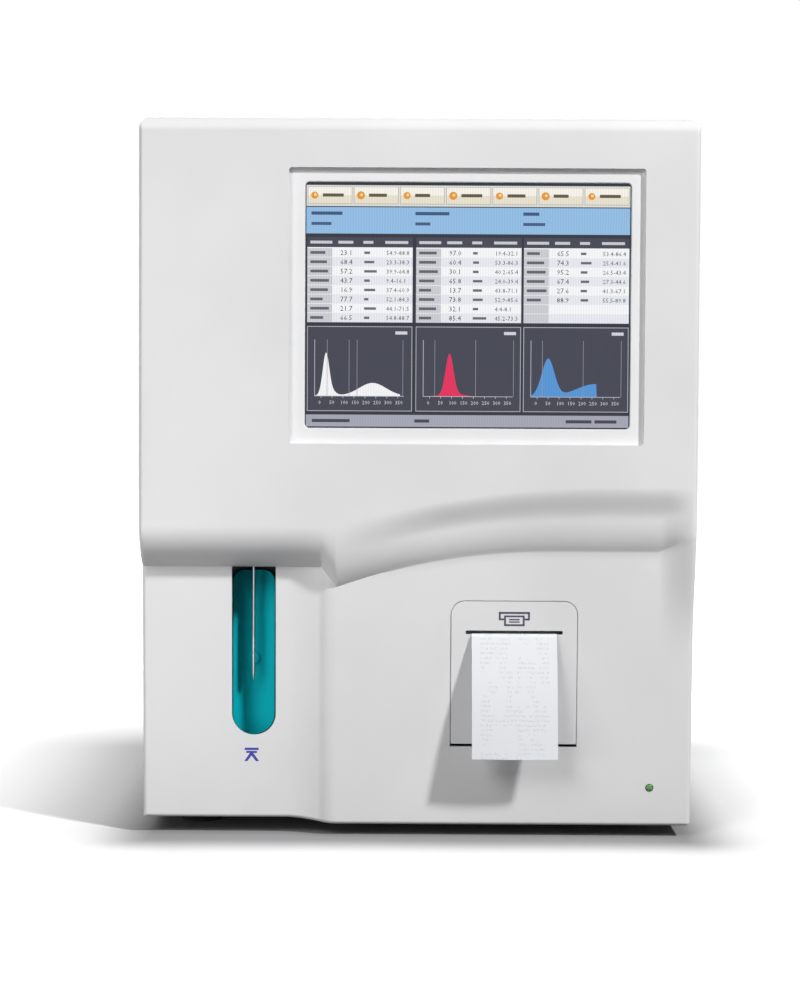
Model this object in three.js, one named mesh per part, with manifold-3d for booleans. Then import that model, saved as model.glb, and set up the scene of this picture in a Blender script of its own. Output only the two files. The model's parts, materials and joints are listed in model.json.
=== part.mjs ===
import * as THREE from 'three';
import { mergeVertices } from 'three/addons/utils/BufferGeometryUtils.js';
import Module from 'manifold-3d';

// A benchtop blood cell counter. Millimetres, +X to the right, +Y to the back, +Z up.
// The origin lies on the table, under the middle of the whole instrument.

const wasm = await Module();
wasm.setup();

// Case
const caseWidth = 370;
const caseTop = 480;
const caseDepth = 400;
const coverBottom = 8;
const leftBottomLift = 3;
const coverReach = 62;
const coverWall = 3;
const sheet = 1.5;
const seam = 0.5;
const touch = 0.3;
const overrun = 5;

// Edges of the case
const topRound = 9;
const sideRound = 3;
const bottomRound = 2.5;
const cornerRound = 9;
const lowCornerRound = 3.5;

// The wave across the front and the recessed panels under it
const leftRecess = 21;
const rightRecess = 13;
const panelLean = 8;
const leftCreaseZ = 182;
const leftRollZ = 210;
const rightCreaseZ = 194;
const rightRollZ = 237;
const waveLowZ = 169;
const waveRunWidth = 150;
const firmRunWidth = 70;
const rollRunWidth = 180;
const coveInset = 97;
const coveWidth = 34;
const flareInset = 24;
const coveTurnShare = 0.68;
const coveLowShare = 0.55;
const flareCreaseZ = 205;
const flareDrop = 70;
const flareShare = 0.88;

// Screen
const frameLeft = -86;
const frameRightInset = 36;
const frameLow = 265;
const frameTopInset = 33;
const frameRound = 2;
const viewSideMargin = 10.5;
const viewRightMargin = 9;
const viewLowMargin = 10.5;
const viewTopMargin = 9;
const viewRound = 3;
const bezelFlange = 6;
const bezelThick = 4.5;
const glassThick = 3;
const glassLap = 5;
const moduleThick = 11;
const bracketThick = 1.5;
const bracketEar = 14;
const bracketWindowShare = 0.7;
const postSide = 8;

// Probe bay
const slotInset = 75;
const slotWidth = 29.6;
const slotLow = 67.5;
const slotDepth = 30.7;
const linerWidth = 34;
const linerWall = 2;
const linerDepth = 25.3;
const linerLow = 60;
const linerHigh = 196;
const keyShift = -1.3;
const keyWidth = 28.4;
const keyLow = 65.3;
const keyHigh = 178;
const keyThick = 3;
const keyTopRound = 8;
const keySetback = 15.3;
const keyTravel = 3;
const keyStemRadius = 4;
const keyStemZ = 118;
const switchSide = 14;
const switchHeight = 22;
const switchDepth = 10;

// Needle drive
const needleShift = -1;
const needleSetback = 6.3;
const needleRadius = 1;
const needleBore = 0.5;
const needleTipShare = 0.3;
const needleTipLong = 4;
const needleTipZ = 104;
const needleTopZ = 252;
const washSide = 16;
const washHeight = 8;
const washBore = 2.5;
const carriageLow = 212;
const carriageHeight = 24;
const carriageDepth = 18;
const carriageWidth = 62;
const armWidth = 13;
const armHeight = 12;
const driveSetback = 41.3;
const rodSpread = 44;
const rodRadius = 3;
const screwRadius = 4;
const runningGap = 0.1;
const shelfZ = 202;
const shelfThick = 3;
const shelfDepth = 22;
const liftPlateWidth = 70;
const liftTopZ = 348;
const liftPlateThick = 3;
const liftFootDepth = 24;
const motorSide = 42;
const motorLength = 30;
const motorChamfer = 4;

// Printer, in the lean of the lower panel
const doorX = 65;
const doorWidth = 84.3;
const doorLow = 63.5;
const doorHeight = 96.5;
const doorRound = 9;
const doorThick = 2.5;
const doorGap = 0.7;
const doorLowGap = 2.1;
const pinSetback = 5.3;
const pinHeight = 5.5;
const pinRadius = 1.2;
const knuckleRadius = 2.2;
const hingeRoom = 3.7;
const knuckleLength = 12;
const paperSlotZ = 75.5;
const paperSlotWidth = 65;
const paperSlotHigh = 2.7;
const bayWidth = 74;
const bayWall = 2;
const bayDepth = 58;
const bayLow = 6;
const bayHigh = 92;
const rollRadius = 22;
const rollCore = 6;
const paperWidth = 57;
const rollSetback = 34;
const rollZ = 34;
const paperThick = 0.4;
const stripEndOut = 28;
const stripEndDrop = 9.5;
const stripSag = 2.6;
const platenRadius = 6;
const platenShaft = 2;
const platenSetback = 14;
const platenZ = 66;
const gearModule = 0.8;
const gearTeeth = 20;
const pinionTeeth = 12;
const gearThick = 4;
const headDepth = 8;
const headHeight = 20;
const outriggerGap = 6;
const outriggerThick = 2;
const stepperRadius = 10;
const stepperLength = 15;
const latchWidth = 12;
const latchHeight = 6;
const latchDepth = 10;

// Lamp
const lampInset = 28;
const lampZ = 34;
const lampRadius = 2.5;
const lampLength = 8;
const lampFlange = 1.2;
const lampFlangeLap = 1.8;
const lampStand = 0.8;
const lampDomeShare = 0.8;

// Feet and base
const footRadius = 16;
const footTaper = 2;
const footHeight = 9;
const footInsetX = 35;
const footFrontY = 86;
const footRearInset = 40;
const trayFlange = 18;
const trayFrontY = 64;

// Inner plate
const chassisY = 170;
const chassisThick = 2;
const chassisTopInset = 40;
const chassisInset = 6;
const chassisFoot = 20;

// Side panel vents
const ventRows = 9;
const ventPitch = 11;
const ventHigh = 3;
const ventLong = 90;
const ventTopInset = 180;
const ventBackInset = 40;

// Fluid parts
const bathX = -46;
const bathPitch = 42;
const bathRadius = 13;
const bathWall = 2.5;
const bathHigh = 52;
const bathZ = 120;
const bathY = 138;
const drainRadius = 3;
const shieldWidth = 92;
const shieldDepth = 52;
const shieldLow = 108;
const shieldHigh = 196;
const jarInset = 67;
const jarY = 128;
const jarRadius = 30;
const jarHigh = 96;
const jarCapHigh = 12;
const jarNeckRadius = 18;
const jarCapLap = 4;
const pumpInset = 73;
const pumpY = 226;
const pumpRadius = 16;
const pumpLength = 46;
const pumpHeadSide = 40;
const pumpHeadThick = 22;
const valveLeft = -70;
const valveRight = 34;
const valveLow = 214;
const valveHigh = 240;
const valveDepth = 24;
const valveCount = 5;
const valveRadius = 7.5;
const valveReach = 26;

// Dosing syringe
const syringeInset = 93;
const syringeSetback = 24;
const syringeTopInset = 248;
const barrelRadius = 9;
const barrelBore = 7;
const barrelHigh = 66;
const plungerRadius = 6.8;
const plungerStem = 3;
const syringeTravel = 30;
const plateWidth = 56;
const plateHigh = 178;
const syringeScrewSpread = 17;
const syringeScrewRadius = 3;
const nutHigh = 10;
const syringeMotorSide = 35;
const syringeMotorLong = 26;

// Electronics
const boardWide = 230;
const boardHigh = 210;
const boardThick = 1.6;
const boardTopInset = 280;
const boardX = -20;
const pegLong = 6;
const pegRadius = 3;
const chipHigh = 6;
const chipHalfWidth = 18;
const chipHalfHeight = 12;
const chipPlaceShares = [[-0.3, 0.7], [0.25, 0.6], [-0.1, 0.3], [0.34, 0.25]];
const boardCornerRadius = 2;
const supplyInset = 33;
const supplyWidth = 110;
const supplyFrontGap = 34;
const supplyBackInset = 48;
const supplyHigh = 58;
const supplySlots = 6;
const supplySlotMargin = 18;
const supplySlotDepth = 6;

// Rear fittings
const rearInset = 3;
const fanInset = 73;
const fanTopInset = 112;
const fanSide = 80;
const fanDeep = 25;
const fanHoleRadius = 38;
const fanHubRadius = 17;
const fanCornerRadius = 3;
const fanBladeReach = 35;
const fanBlades = 7;
const bladeThick = 1.6;
const bladePitch = Math.PI / 5;
const guardRings = 3;
const guardWire = 1.6;
const inletInset = 65;
const inletZ = 70;
const inletWidth = 50;
const inletHigh = 60;
const inletDeep = 24;
const inletFlange = 3;
const socketWide = 25;
const socketHigh = 17;
const socketDeep = 19;
const socketZ = -13;
const socketLowRadius = 2;
const socketHighRadius = 5;
const bladeLong = 12;
const bladeWide = 4;
const bladeGauge = 2;
const bladeSpread = 14;
const rockerZ = 16;
const rockerWide = 21;
const rockerHigh = 15;
const rockerDeep = 11;
const rockerTilt = 8;
const rockerStand = 2.2;
const rockerWaist = 0.9;
const rockerHeelShare = 0.6;
const portInset = 29;
const portWidth = 96;
const portLow = 58;
const portHigh = 96;
const portThick = 3;
const barbCount = 4;
const barbRadius = 4;
const barbHexRadius = 6.4;
const barbStemRadius = 3.2;
const barbTipRadius = 2.8;
const barbBore = 2;
const barbLong = 14;
const dataPlateInletGap = 29;
const dataPlatePortGap = 20;
const dataPlateLow = 62;
const dataPlateHigh = 90;
const dataPlateThick = 1.2;
const dataShellWidthShare = 0.29;
const dataShellHeight = 12;
const dataShellReach = 6;
const dataShellWall = 1;
const dataShellRadius = 3;
const dataShellShares = [0.25, 0.75];
const studInset = 101;
const studZ = 52;
const studRadius = 2.5;
const studLong = 14;
const nutRadius = 4.6;
const nutThick = 4;

const halfWidth = caseWidth / 2;
const coveStartX = coveInset - halfWidth;
const coveEndX = coveStartX + coveWidth;
const flareStartX = halfWidth - flareInset;
const frameRight = halfWidth - frameRightInset;
const frameHigh = caseTop - frameTopInset;
const viewLeft = frameLeft + viewSideMargin;
const viewRight = frameRight - viewRightMargin;
const viewLow = frameLow + viewLowMargin;
const viewHigh = frameHigh - viewTopMargin;
const slotX = slotInset - halfWidth;
const keyX = slotX + keyShift;
const needleX = slotX + needleShift;
const lampX = halfWidth - lampInset;
const chassisHigh = caseTop - chassisTopInset;
const ventLow = caseTop - ventTopInset;
const jarX = halfWidth - jarInset;
const pumpX = halfWidth - pumpInset;
const syringeX = halfWidth - syringeInset;
const syringeLow = caseTop - syringeTopInset;
const boardLow = caseTop - boardTopInset;
const supplyLeft = supplyInset - halfWidth;
const supplyRight = supplyLeft + supplyWidth;
const supplyFront = chassisY + chassisThick + supplyFrontGap;
const supplyBack = caseDepth - supplyBackInset;
const fanX = halfWidth - fanInset;
const fanZ = caseTop - fanTopInset;
const inletX = inletInset - halfWidth;
const portRight = halfWidth - portInset;
const portLeft = portRight - portWidth;
const studX = studInset - halfWidth;
const dataPlateLeft = inletX + inletWidth / 2 + dataPlateInletGap;
const dataPlateRight = portLeft - dataPlatePortGap;
const dataShellWidth = (dataPlateRight - dataPlateLeft) * dataShellWidthShare;
const leanSlope = panelLean / (rightCreaseZ - coverBottom);
const leanAngle = Math.atan(leanSlope);
// The lower right panel leans back. Its face is this far behind the front plane at the door's lower edge.
const panelFaceY = rightRecess + (rightCreaseZ - doorLow) * leanSlope;
const stripReach = (stripEndOut + paperThick) * Math.cos(leanAngle) - stripEndDrop * Math.sin(leanAngle);
const paperReach = stripReach - panelFaceY;
const rearReach = touch + portThick + barbLong - rearInset;
const frontY = paperReach - (paperReach + caseDepth + rearReach) / 2;
const backY = frontY + caseDepth;
const trayLow = footHeight + touch;
const trayTop = trayLow + sheet;
const floorZ = trayTop + touch;

const analyzer = new THREE.Group();

// Solids

function solidFrom(vertProperties, triVerts) {
  return new wasm.Manifold(new wasm.Mesh({ numProp: 3, vertProperties, triVerts }));
}

function toSolid(geometry) {
  geometry.deleteAttribute('normal');
  geometry.deleteAttribute('uv');
  const merged = mergeVertices(geometry);
  const corners = new Float32Array(merged.attributes.position.array);
  return solidFrom(corners, new Uint32Array(merged.index.array));
}

function block(width, depth, height, x = 0, y = 0, z = 0) {
  const geometry = new THREE.BoxGeometry(width, depth, height);
  geometry.translate(x, y, z);
  return toSolid(geometry);
}

// A box given by its low and high corners.
function span(low, high) {
  const size = high.map((value, axis) => value - low[axis]);
  const centre = high.map((value, axis) => (value + low[axis]) / 2);
  return block(...size, ...centre);
}

const turns = {
  x: (geometry) => geometry.rotateZ(-Math.PI / 2),
  y: (geometry) => geometry,
  z: (geometry) => geometry.rotateX(Math.PI / 2),
};

function round(axis, radius, length, x = 0, y = 0, z = 0, sides = 20, endRadius = radius) {
  const geometry = turns[axis](new THREE.CylinderGeometry(endRadius, radius, length, sides));
  geometry.translate(x, y, z);
  return toSolid(geometry);
}

// An outline in X and Z, pushed from front to back.
function plate(shape, front, thick, steps = 6) {
  const settings = { depth: thick, bevelEnabled: false, curveSegments: steps };
  const geometry = new THREE.ExtrudeGeometry(shape, settings);
  geometry.rotateX(Math.PI / 2);
  geometry.translate(0, front + thick, 0);
  return toSolid(geometry);
}

// An outline in Y and Z, pushed from left to right.
function profile(shape, left, width, steps = 6) {
  const settings = { depth: width, bevelEnabled: false, curveSegments: steps };
  const geometry = new THREE.ExtrudeGeometry(shape, settings);
  geometry.rotateY(Math.PI / 2);
  geometry.rotateX(Math.PI / 2);
  geometry.translate(left, 0, 0);
  return toSolid(geometry);
}

// A profile of radius and height, turned round the vertical axis.
function turned(points, sides = 24) {
  const outline = points.map(([radius, height]) => new THREE.Vector2(radius, height));
  const geometry = new THREE.LatheGeometry(outline, sides);
  geometry.rotateX(Math.PI / 2);
  return toSolid(geometry);
}

function roundedBox(left, low, right, high, radii) {
  const [lowLeft, lowRight, highRight, highLeft] = radii;
  const shape = new THREE.Shape();
  shape.moveTo(left + lowLeft, low);
  shape.lineTo(right - lowRight, low);
  if (lowRight) shape.absarc(right - lowRight, low + lowRight, lowRight, -Math.PI / 2, 0);
  shape.lineTo(right, high - highRight);
  if (highRight) shape.absarc(right - highRight, high - highRight, highRight, 0, Math.PI / 2);
  shape.lineTo(left + highLeft, high);
  if (highLeft) shape.absarc(left + highLeft, high - highLeft, highLeft, Math.PI / 2, Math.PI);
  shape.lineTo(left, low + lowLeft);
  if (lowLeft) shape.absarc(left + lowLeft, low + lowLeft, lowLeft, Math.PI, 1.5 * Math.PI);
  return shape;
}

function evenBox(left, low, right, high, radius) {
  return roundedBox(left, low, right, high, [radius, radius, radius, radius]);
}

function union(...solids) {
  return solids.reduce((sum, next) => sum.add(next));
}

function less(solid, ...cuts) {
  return cuts.reduce((rest, cut) => rest.subtract(cut), solid);
}

function finish(name, solid, material, parent = analyzer, place = [0, 0, 0]) {
  const { numProp, vertProperties, triVerts } = solid.getMesh();
  const geometry = new THREE.BufferGeometry();
  geometry.setAttribute('position', new THREE.BufferAttribute(vertProperties, numProp));
  geometry.setIndex(new THREE.BufferAttribute(triVerts, 1));
  geometry.computeVertexNormals();
  const mesh = new THREE.Mesh(geometry, material());
  mesh.name = name;
  mesh.position.set(...place);
  parent.add(mesh);
  return mesh;
}

// Materials

function standard(color, roughness, metalness) {
  return () => new THREE.MeshStandardMaterial({ color, roughness, metalness });
}

const shellPlastic = standard(0xdcdddd, 0.45, 0);
const bezelPlastic = standard(0xd6d7d8, 0.5, 0);
const paintedSteel = standard(0xd9dadb, 0.55, 0);
const zincSteel = standard(0xa9adb0, 0.4, 1);
const brightSteel = standard(0xc4c7ca, 0.2, 1);
const darkPlastic = standard(0x1d2022, 0.6, 0);
const tealPlastic = standard(0x0a737f, 0.35, 0);
const rubber = standard(0x17181a, 0.9, 0);
const screenGlass = standard(0x20242b, 0.1, 0);
const greenLens = standard(0x3f9a3c, 0.25, 0);
const paper = standard(0xf3f3f5, 0.85, 0);
const blackMetal = standard(0x2a2c2f, 0.45, 0.6);
const clearAcrylic = standard(0xcfd8dc, 0.1, 0);
const whiteNylon = standard(0xe9e8e2, 0.5, 0);
const boardGreen = standard(0x1d5a3a, 0.5, 0);
const brass = standard(0xb89a52, 0.3, 1);
const aluminium = standard(0xb4b8bb, 0.35, 1);
const portPlastic = standard(0x3a3d41, 0.5, 0);

// Front cover

function ease(share) {
  const kept = THREE.MathUtils.clamp(share, 0, 1);
  return kept * kept * (3 - 2 * kept);
}

function risen(share, power) {
  const kept = THREE.MathUtils.clamp(share, 0, 1);
  return 1 - (1 - kept) ** power;
}

// How far the cove between the two lower panels has come forward at x, from 0 to 1.
function coveRise(x) {
  const share = THREE.MathUtils.clamp((x - coveStartX) / coveWidth, 0, 1);
  if (share < coveTurnShare) return coveLowShare * (share / coveTurnShare) ** 2;
  return coveLowShare + (1 - coveLowShare) * risen((share - coveTurnShare) / (1 - coveTurnShare), 2);
}

const wavePower = 2.2;
const rollPower = 2;
const coveCreaseShare = 0.3;

function creaseAt(x) {
  const dipWidth = coveCreaseShare * coveWidth;
  const dip = THREE.MathUtils.clamp((x - coveEndX + dipWidth) / dipWidth, 0, 1);
  if (x < coveEndX) return leftCreaseZ + (waveLowZ - leftCreaseZ) * dip;
  const wave = waveLowZ + (rightCreaseZ - waveLowZ) * risen((x - coveEndX) / waveRunWidth, wavePower);
  const flare = THREE.MathUtils.clamp((x - flareStartX) / (halfWidth - flareStartX), 0, 1);
  return wave + (flareCreaseZ - rightCreaseZ) * flare;
}

function rollAt(x) {
  return leftRollZ + (rightRollZ - leftRollZ) * risen((x - coveEndX) / rollRunWidth, rollPower);
}

function bottomAt(x) {
  return coverBottom + leftBottomLift * (1 - ease((x - coveStartX) / coveWidth));
}

// How far the lower panels lie behind the upper front plane.
function panelRecess(x, z) {
  const flat = leftRecess + (rightRecess - leftRecess) * coveRise(x);
  const flare = ease((x - flareStartX) / (halfWidth - flareStartX)) * flareShare;
  const fade = 1 - ease((creaseAt(x) - z) / flareDrop);
  return flat * (1 - flare * fade) + (rightCreaseZ - z) * leanSlope;
}

const underShare = 0.35;
const rollShare = 0.08;
const bellyShare = 0.1;

// From the roll to the crease the front turns in, as a share of the recess. On the left it turns slowly and
// ends in an undercut. On the right it turns at once, over a tight roll, and then runs almost straight.
function underTurn(share, x) {
  const soft = (1 - underShare) * share ** 2 + underShare * share ** 6;
  const firm = ((1 + rollShare) * share ** 2) / (share + rollShare) + bellyShare * Math.sin(Math.PI * share);
  const weight = Math.min(1, Math.max(0, (x - coveEndX) / firmRunWidth));
  return soft + (firm - soft) * weight;
}

function frontRecess(x, z) {
  const crease = creaseAt(x);
  const roll = rollAt(x);
  if (z <= crease) return panelRecess(x, z);
  if (z >= roll) return 0;
  return panelRecess(x, crease) * underTurn((roll - z) / (roll - crease), x);
}

// How far a rounded edge falls back at a distance in from that edge.
function edgeFall(inward, radius) {
  if (inward >= radius) return 0;
  return radius - Math.sqrt(Math.max(0, radius ** 2 - (radius - inward) ** 2));
}

function edgeStations(radius, count) {
  const turn = Math.PI / 2 / count;
  return Array.from({ length: count + 1 }, (_, step) => radius * (1 - Math.cos(step * turn)));
}

const coveSteps = 6;
const waveShares = [0.09, 0.2, 0.34, 0.5, 0.7, 1];
const flareSteps = 3;
const underShares = [0.88, 0.72, 0.54, 0.36, 0.18];
const lowerShares = [0.25, 0.5, 1];
const leftMiddleShare = 0.5;

function coverColumns(inset) {
  const edge = halfWidth - inset;
  const fillet = edgeStations(sideRound, 3);
  return [
    ...fillet.map((station) => -edge + station),
    -edge + (edge + coveStartX) * leftMiddleShare,
    ...Array.from({ length: coveSteps + 1 }, (_, step) => coveStartX + (coveWidth * step) / coveSteps),
    ...waveShares.map((share) => coveEndX + waveRunWidth * share),
    (coveEndX + waveRunWidth + flareStartX) / 2,
    ...Array.from({ length: flareSteps }, (_, step) =>
      flareStartX + ((edge - sideRound - flareStartX) * step) / flareSteps),
    ...fillet.map((station) => edge - station).reverse(),
  ];
}

function coverRows(x, inset) {
  const crease = creaseAt(x);
  const roll = rollAt(x);
  const low = bottomAt(x) + inset;
  const high = caseTop - inset;
  return [
    ...edgeStations(bottomRound, 2).map((station) => low + station),
    ...lowerShares.map((share) => crease - flareDrop * share).reverse(),
    crease,
    ...underShares.map((share) => roll - (roll - crease) * share),
    roll,
    (roll + high) / 2,
    ...edgeStations(topRound, 4).map((station) => high - station).reverse(),
  ];
}

// A closed block behind the front surface, drawn in by an inset on every side.
function coverBlock(inset, back) {
  const columns = coverColumns(inset);
  const points = [];
  const rows = coverRows(columns[0], inset).length;
  for (const x of columns) {
    for (const z of coverRows(x, inset)) {
      const side = edgeFall(halfWidth - inset - Math.abs(x), sideRound);
      const top = edgeFall(caseTop - inset - z, topRound);
      const low = edgeFall(z - bottomAt(x) - inset, bottomRound);
      points.push([x, inset + frontRecess(x, z) + Math.max(side, top, low), z]);
    }
  }
  const at = (column, row) => column * rows + row;
  const faces = [];
  for (let column = 0; column + 1 < columns.length; column += 1) {
    for (let row = 0; row + 1 < rows; row += 1) {
      faces.push(at(column, row), at(column + 1, row), at(column + 1, row + 1));
      faces.push(at(column, row), at(column + 1, row + 1), at(column, row + 1));
    }
  }
  const last = columns.length - 1;
  const rim = [
    ...columns.slice(0, last).map((_, column) => at(column, 0)),
    ...Array.from({ length: rows - 1 }, (_, row) => at(last, row)),
    ...columns.slice(0, last).map((_, column) => at(last - column, rows - 1)),
    ...Array.from({ length: rows - 1 }, (_, row) => at(0, rows - 1 - row)),
  ];
  const first = points.length;
  for (const corner of rim) points.push([points[corner][0], back, points[corner][2]]);
  const middle = points.length;
  points.push([0, back, (coverBottom + caseTop) / 2]);
  rim.forEach((corner, step) => {
    const next = (step + 1) % rim.length;
    faces.push(corner, first + step, rim[next]);
    faces.push(rim[next], first + step, first + next);
    faces.push(middle, first + next, first + step);
  });
  return solidFrom(new Float32Array(points.flat()), new Uint32Array(faces));
}

function caseOutline(inset) {
  const low = Math.max(lowCornerRound - inset, seam);
  const high = Math.max(cornerRound - inset, seam);
  const edge = halfWidth - inset;
  return roundedBox(-edge, coverBottom + inset, edge, caseTop - inset, [0, low, high, high]);
}

function frontCover() {
  const outerEdge = plate(caseOutline(0), -overrun, coverReach + 2 * overrun);
  const innerEdge = plate(caseOutline(coverWall), -overrun, coverReach + 3 * overrun);
  const outer = coverBlock(0, coverReach).intersect(outerEdge);
  const inner = coverBlock(coverWall, coverReach + overrun).intersect(innerEdge);
  const screen = plate(evenBox(frameLeft, frameLow, frameRight, frameHigh, frameRound), -overrun, coverReach);
  const slotRadius = slotWidth / 2;
  const slot = roundedBox(slotX - slotRadius, slotLow, slotX + slotRadius, leftCreaseZ,
    [slotRadius, slotRadius, 0, 0]);
  const probe = plate(slot, -overrun, coverReach, 8);
  const cover = less(outer, inner, screen, probe, inPanel(doorHole()), inPanel(lampHole()));
  finish('front_cover', cover, shellPlastic, analyzer, [0, frontY, 0]);
}

// The lower right panel's own frame has its origin on the panel face, at the door's lower edge.

function inPanel(solid) {
  const lean = new THREE.Matrix4().makeRotationX(leanAngle);
  lean.setPosition(doorX, panelFaceY, doorLow);
  return solid.transform(lean.elements);
}

function doorHole() {
  const side = doorWidth / 2 + doorGap;
  const outline = roundedBox(-side, -doorLowGap, side, doorHeight + doorGap,
    [seam, seam, doorRound + doorGap, doorRound + doorGap]);
  return plate(outline, -overrun, coverWall + 2 * overrun);
}

function lampPlace() {
  return [lampX - doorX, (lampZ - doorLow) / Math.cos(leanAngle)];
}

function lampHole() {
  const [x, z] = lampPlace();
  return round('y', lampRadius + touch, coverWall + 2 * overrun, x, coverWall / 2, z);
}

frontCover();

// Screen: a stepped bezel behind the cover, glass behind it, then the display module in its bracket.
function screenGroup() {
  const group = new THREE.Group();
  group.position.set((viewLeft + viewRight) / 2, frontY + coverWall + touch, (viewLow + viewHigh) / 2);
  analyzer.add(group);
  const viewWide = (viewRight - viewLeft) / 2;
  const viewTall = (viewHigh - viewLow) / 2;
  const left = frameLeft - bezelFlange - group.position.x;
  const right = frameRight + bezelFlange - group.position.x;
  const low = frameLow - bezelFlange - group.position.z;
  const high = frameHigh + bezelFlange - group.position.z;
  const window = plate(evenBox(-viewWide, -viewTall, viewWide, viewTall, viewRound), -overrun, 3 * overrun);
  const ring = plate(evenBox(left, low, right, high, frameRound), 0, bezelThick, 3);
  finish('screen_bezel', less(ring, window), bezelPlastic, group);

  const glassY = bezelThick + touch;
  const wide = viewWide + glassLap;
  const tall = viewTall + glassLap;
  const glass = plate(evenBox(-wide, -tall, wide, tall, viewRound), glassY, glassThick, 3);
  finish('touch_panel', glass, screenGlass, group);

  const moduleY = glassY + glassThick + touch;
  const casing = plate(evenBox(-wide, -tall, wide, tall, seam), moduleY, moduleThick, 2);
  finish('lcd_module', casing, zincSteel, group);

  const bracketY = moduleY + moduleThick + touch;
  const reach = wide + bracketEar;
  const back = plate(evenBox(-reach, -tall, reach, tall, seam), bracketY, bracketThick, 2);
  const openWide = wide * bracketWindowShare;
  const openTall = tall * bracketWindowShare;
  const gap = evenBox(-openWide, -openTall, openWide, openTall, seam);
  const opening = plate(gap, bracketY - overrun, 3 * overrun, 2);
  const posts = [-1, 1].flatMap((side) => [-1, 1].map((end) => {
    const x = side * (reach - postSide / 2);
    const z = end * (tall - postSide / 2);
    const clear = postSide / 2 + touch;
    const place = x < 0 ? Math.min(x, left - clear) : Math.max(x, right + clear);
    return span([place - postSide / 2, -touch / 2, z - postSide / 2],
      [place + postSide / 2, bracketY + bracketThick, z + postSide / 2]);
  }));
  finish('display_bracket', less(union(back, ...posts), opening), zincSteel, group);
}

// Probe bay: a dark box behind the U-shaped opening, with the teal key that starts a draw.
function probeBay() {
  const group = new THREE.Group();
  group.position.set(slotX, frontY + slotDepth, 0);
  analyzer.add(group);
  const half = linerWidth / 2;
  const outer = span([-half - linerWall, 0, linerLow - linerWall],
    [half + linerWall, linerDepth, linerHigh + linerWall]);
  const inner = span([-half, -overrun, linerLow], [half, linerDepth - linerWall, linerHigh]);
  const needleHole = round('z', washBore + needleRadius, 3 * overrun, needleShift, needleSetback, linerHigh);
  const stemHole = round('y', keyStemRadius + touch, 3 * overrun, keyShift, linerDepth, keyStemZ);
  finish('probe_bay_liner', less(outer, inner, needleHole, stemHole), darkPlastic, group);

  const keyHalf = keyWidth / 2;
  const rounds = [keyHalf, keyHalf, keyTopRound, keyTopRound];
  const outline = roundedBox(-keyHalf, keyLow, keyHalf, keyHigh, rounds);
  const face = plate(outline, 0, keyThick, 8);
  const stemLength = linerDepth - keySetback - keyThick;
  const stemY = keyThick + (stemLength - overrun) / 2;
  const stem = round('y', keyStemRadius, stemLength + overrun, 0, stemY, keyStemZ);
  finish('aspirate_key', union(face, stem), tealPlastic, group, [keyShift, keySetback, 0]);

  const switchY = linerDepth + touch;
  const wall = linerWall;
  const cap = span([-switchSide / 2, switchY, keyStemZ - switchHeight / 2],
    [switchSide / 2, switchY + switchDepth, keyStemZ + switchHeight / 2]);
  const well = round('y', keyStemRadius + touch, keyTravel + 2 * wall, 0, switchY + keyTravel / 2, keyStemZ);
  finish('key_switch', less(cap, well), portPlastic, group, [keyShift, 0, 0]);

  const collar = block(washSide, needleSetback * 2, washHeight, 0, 0, washHeight / 2);
  const bore = round('z', needleRadius + needleBore, 3 * washHeight, 0, 0, 0);
  finish('wash_block', less(collar, bore), whiteNylon, group,
    [needleShift, needleSetback, linerHigh + linerWall + touch]);
}

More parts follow.
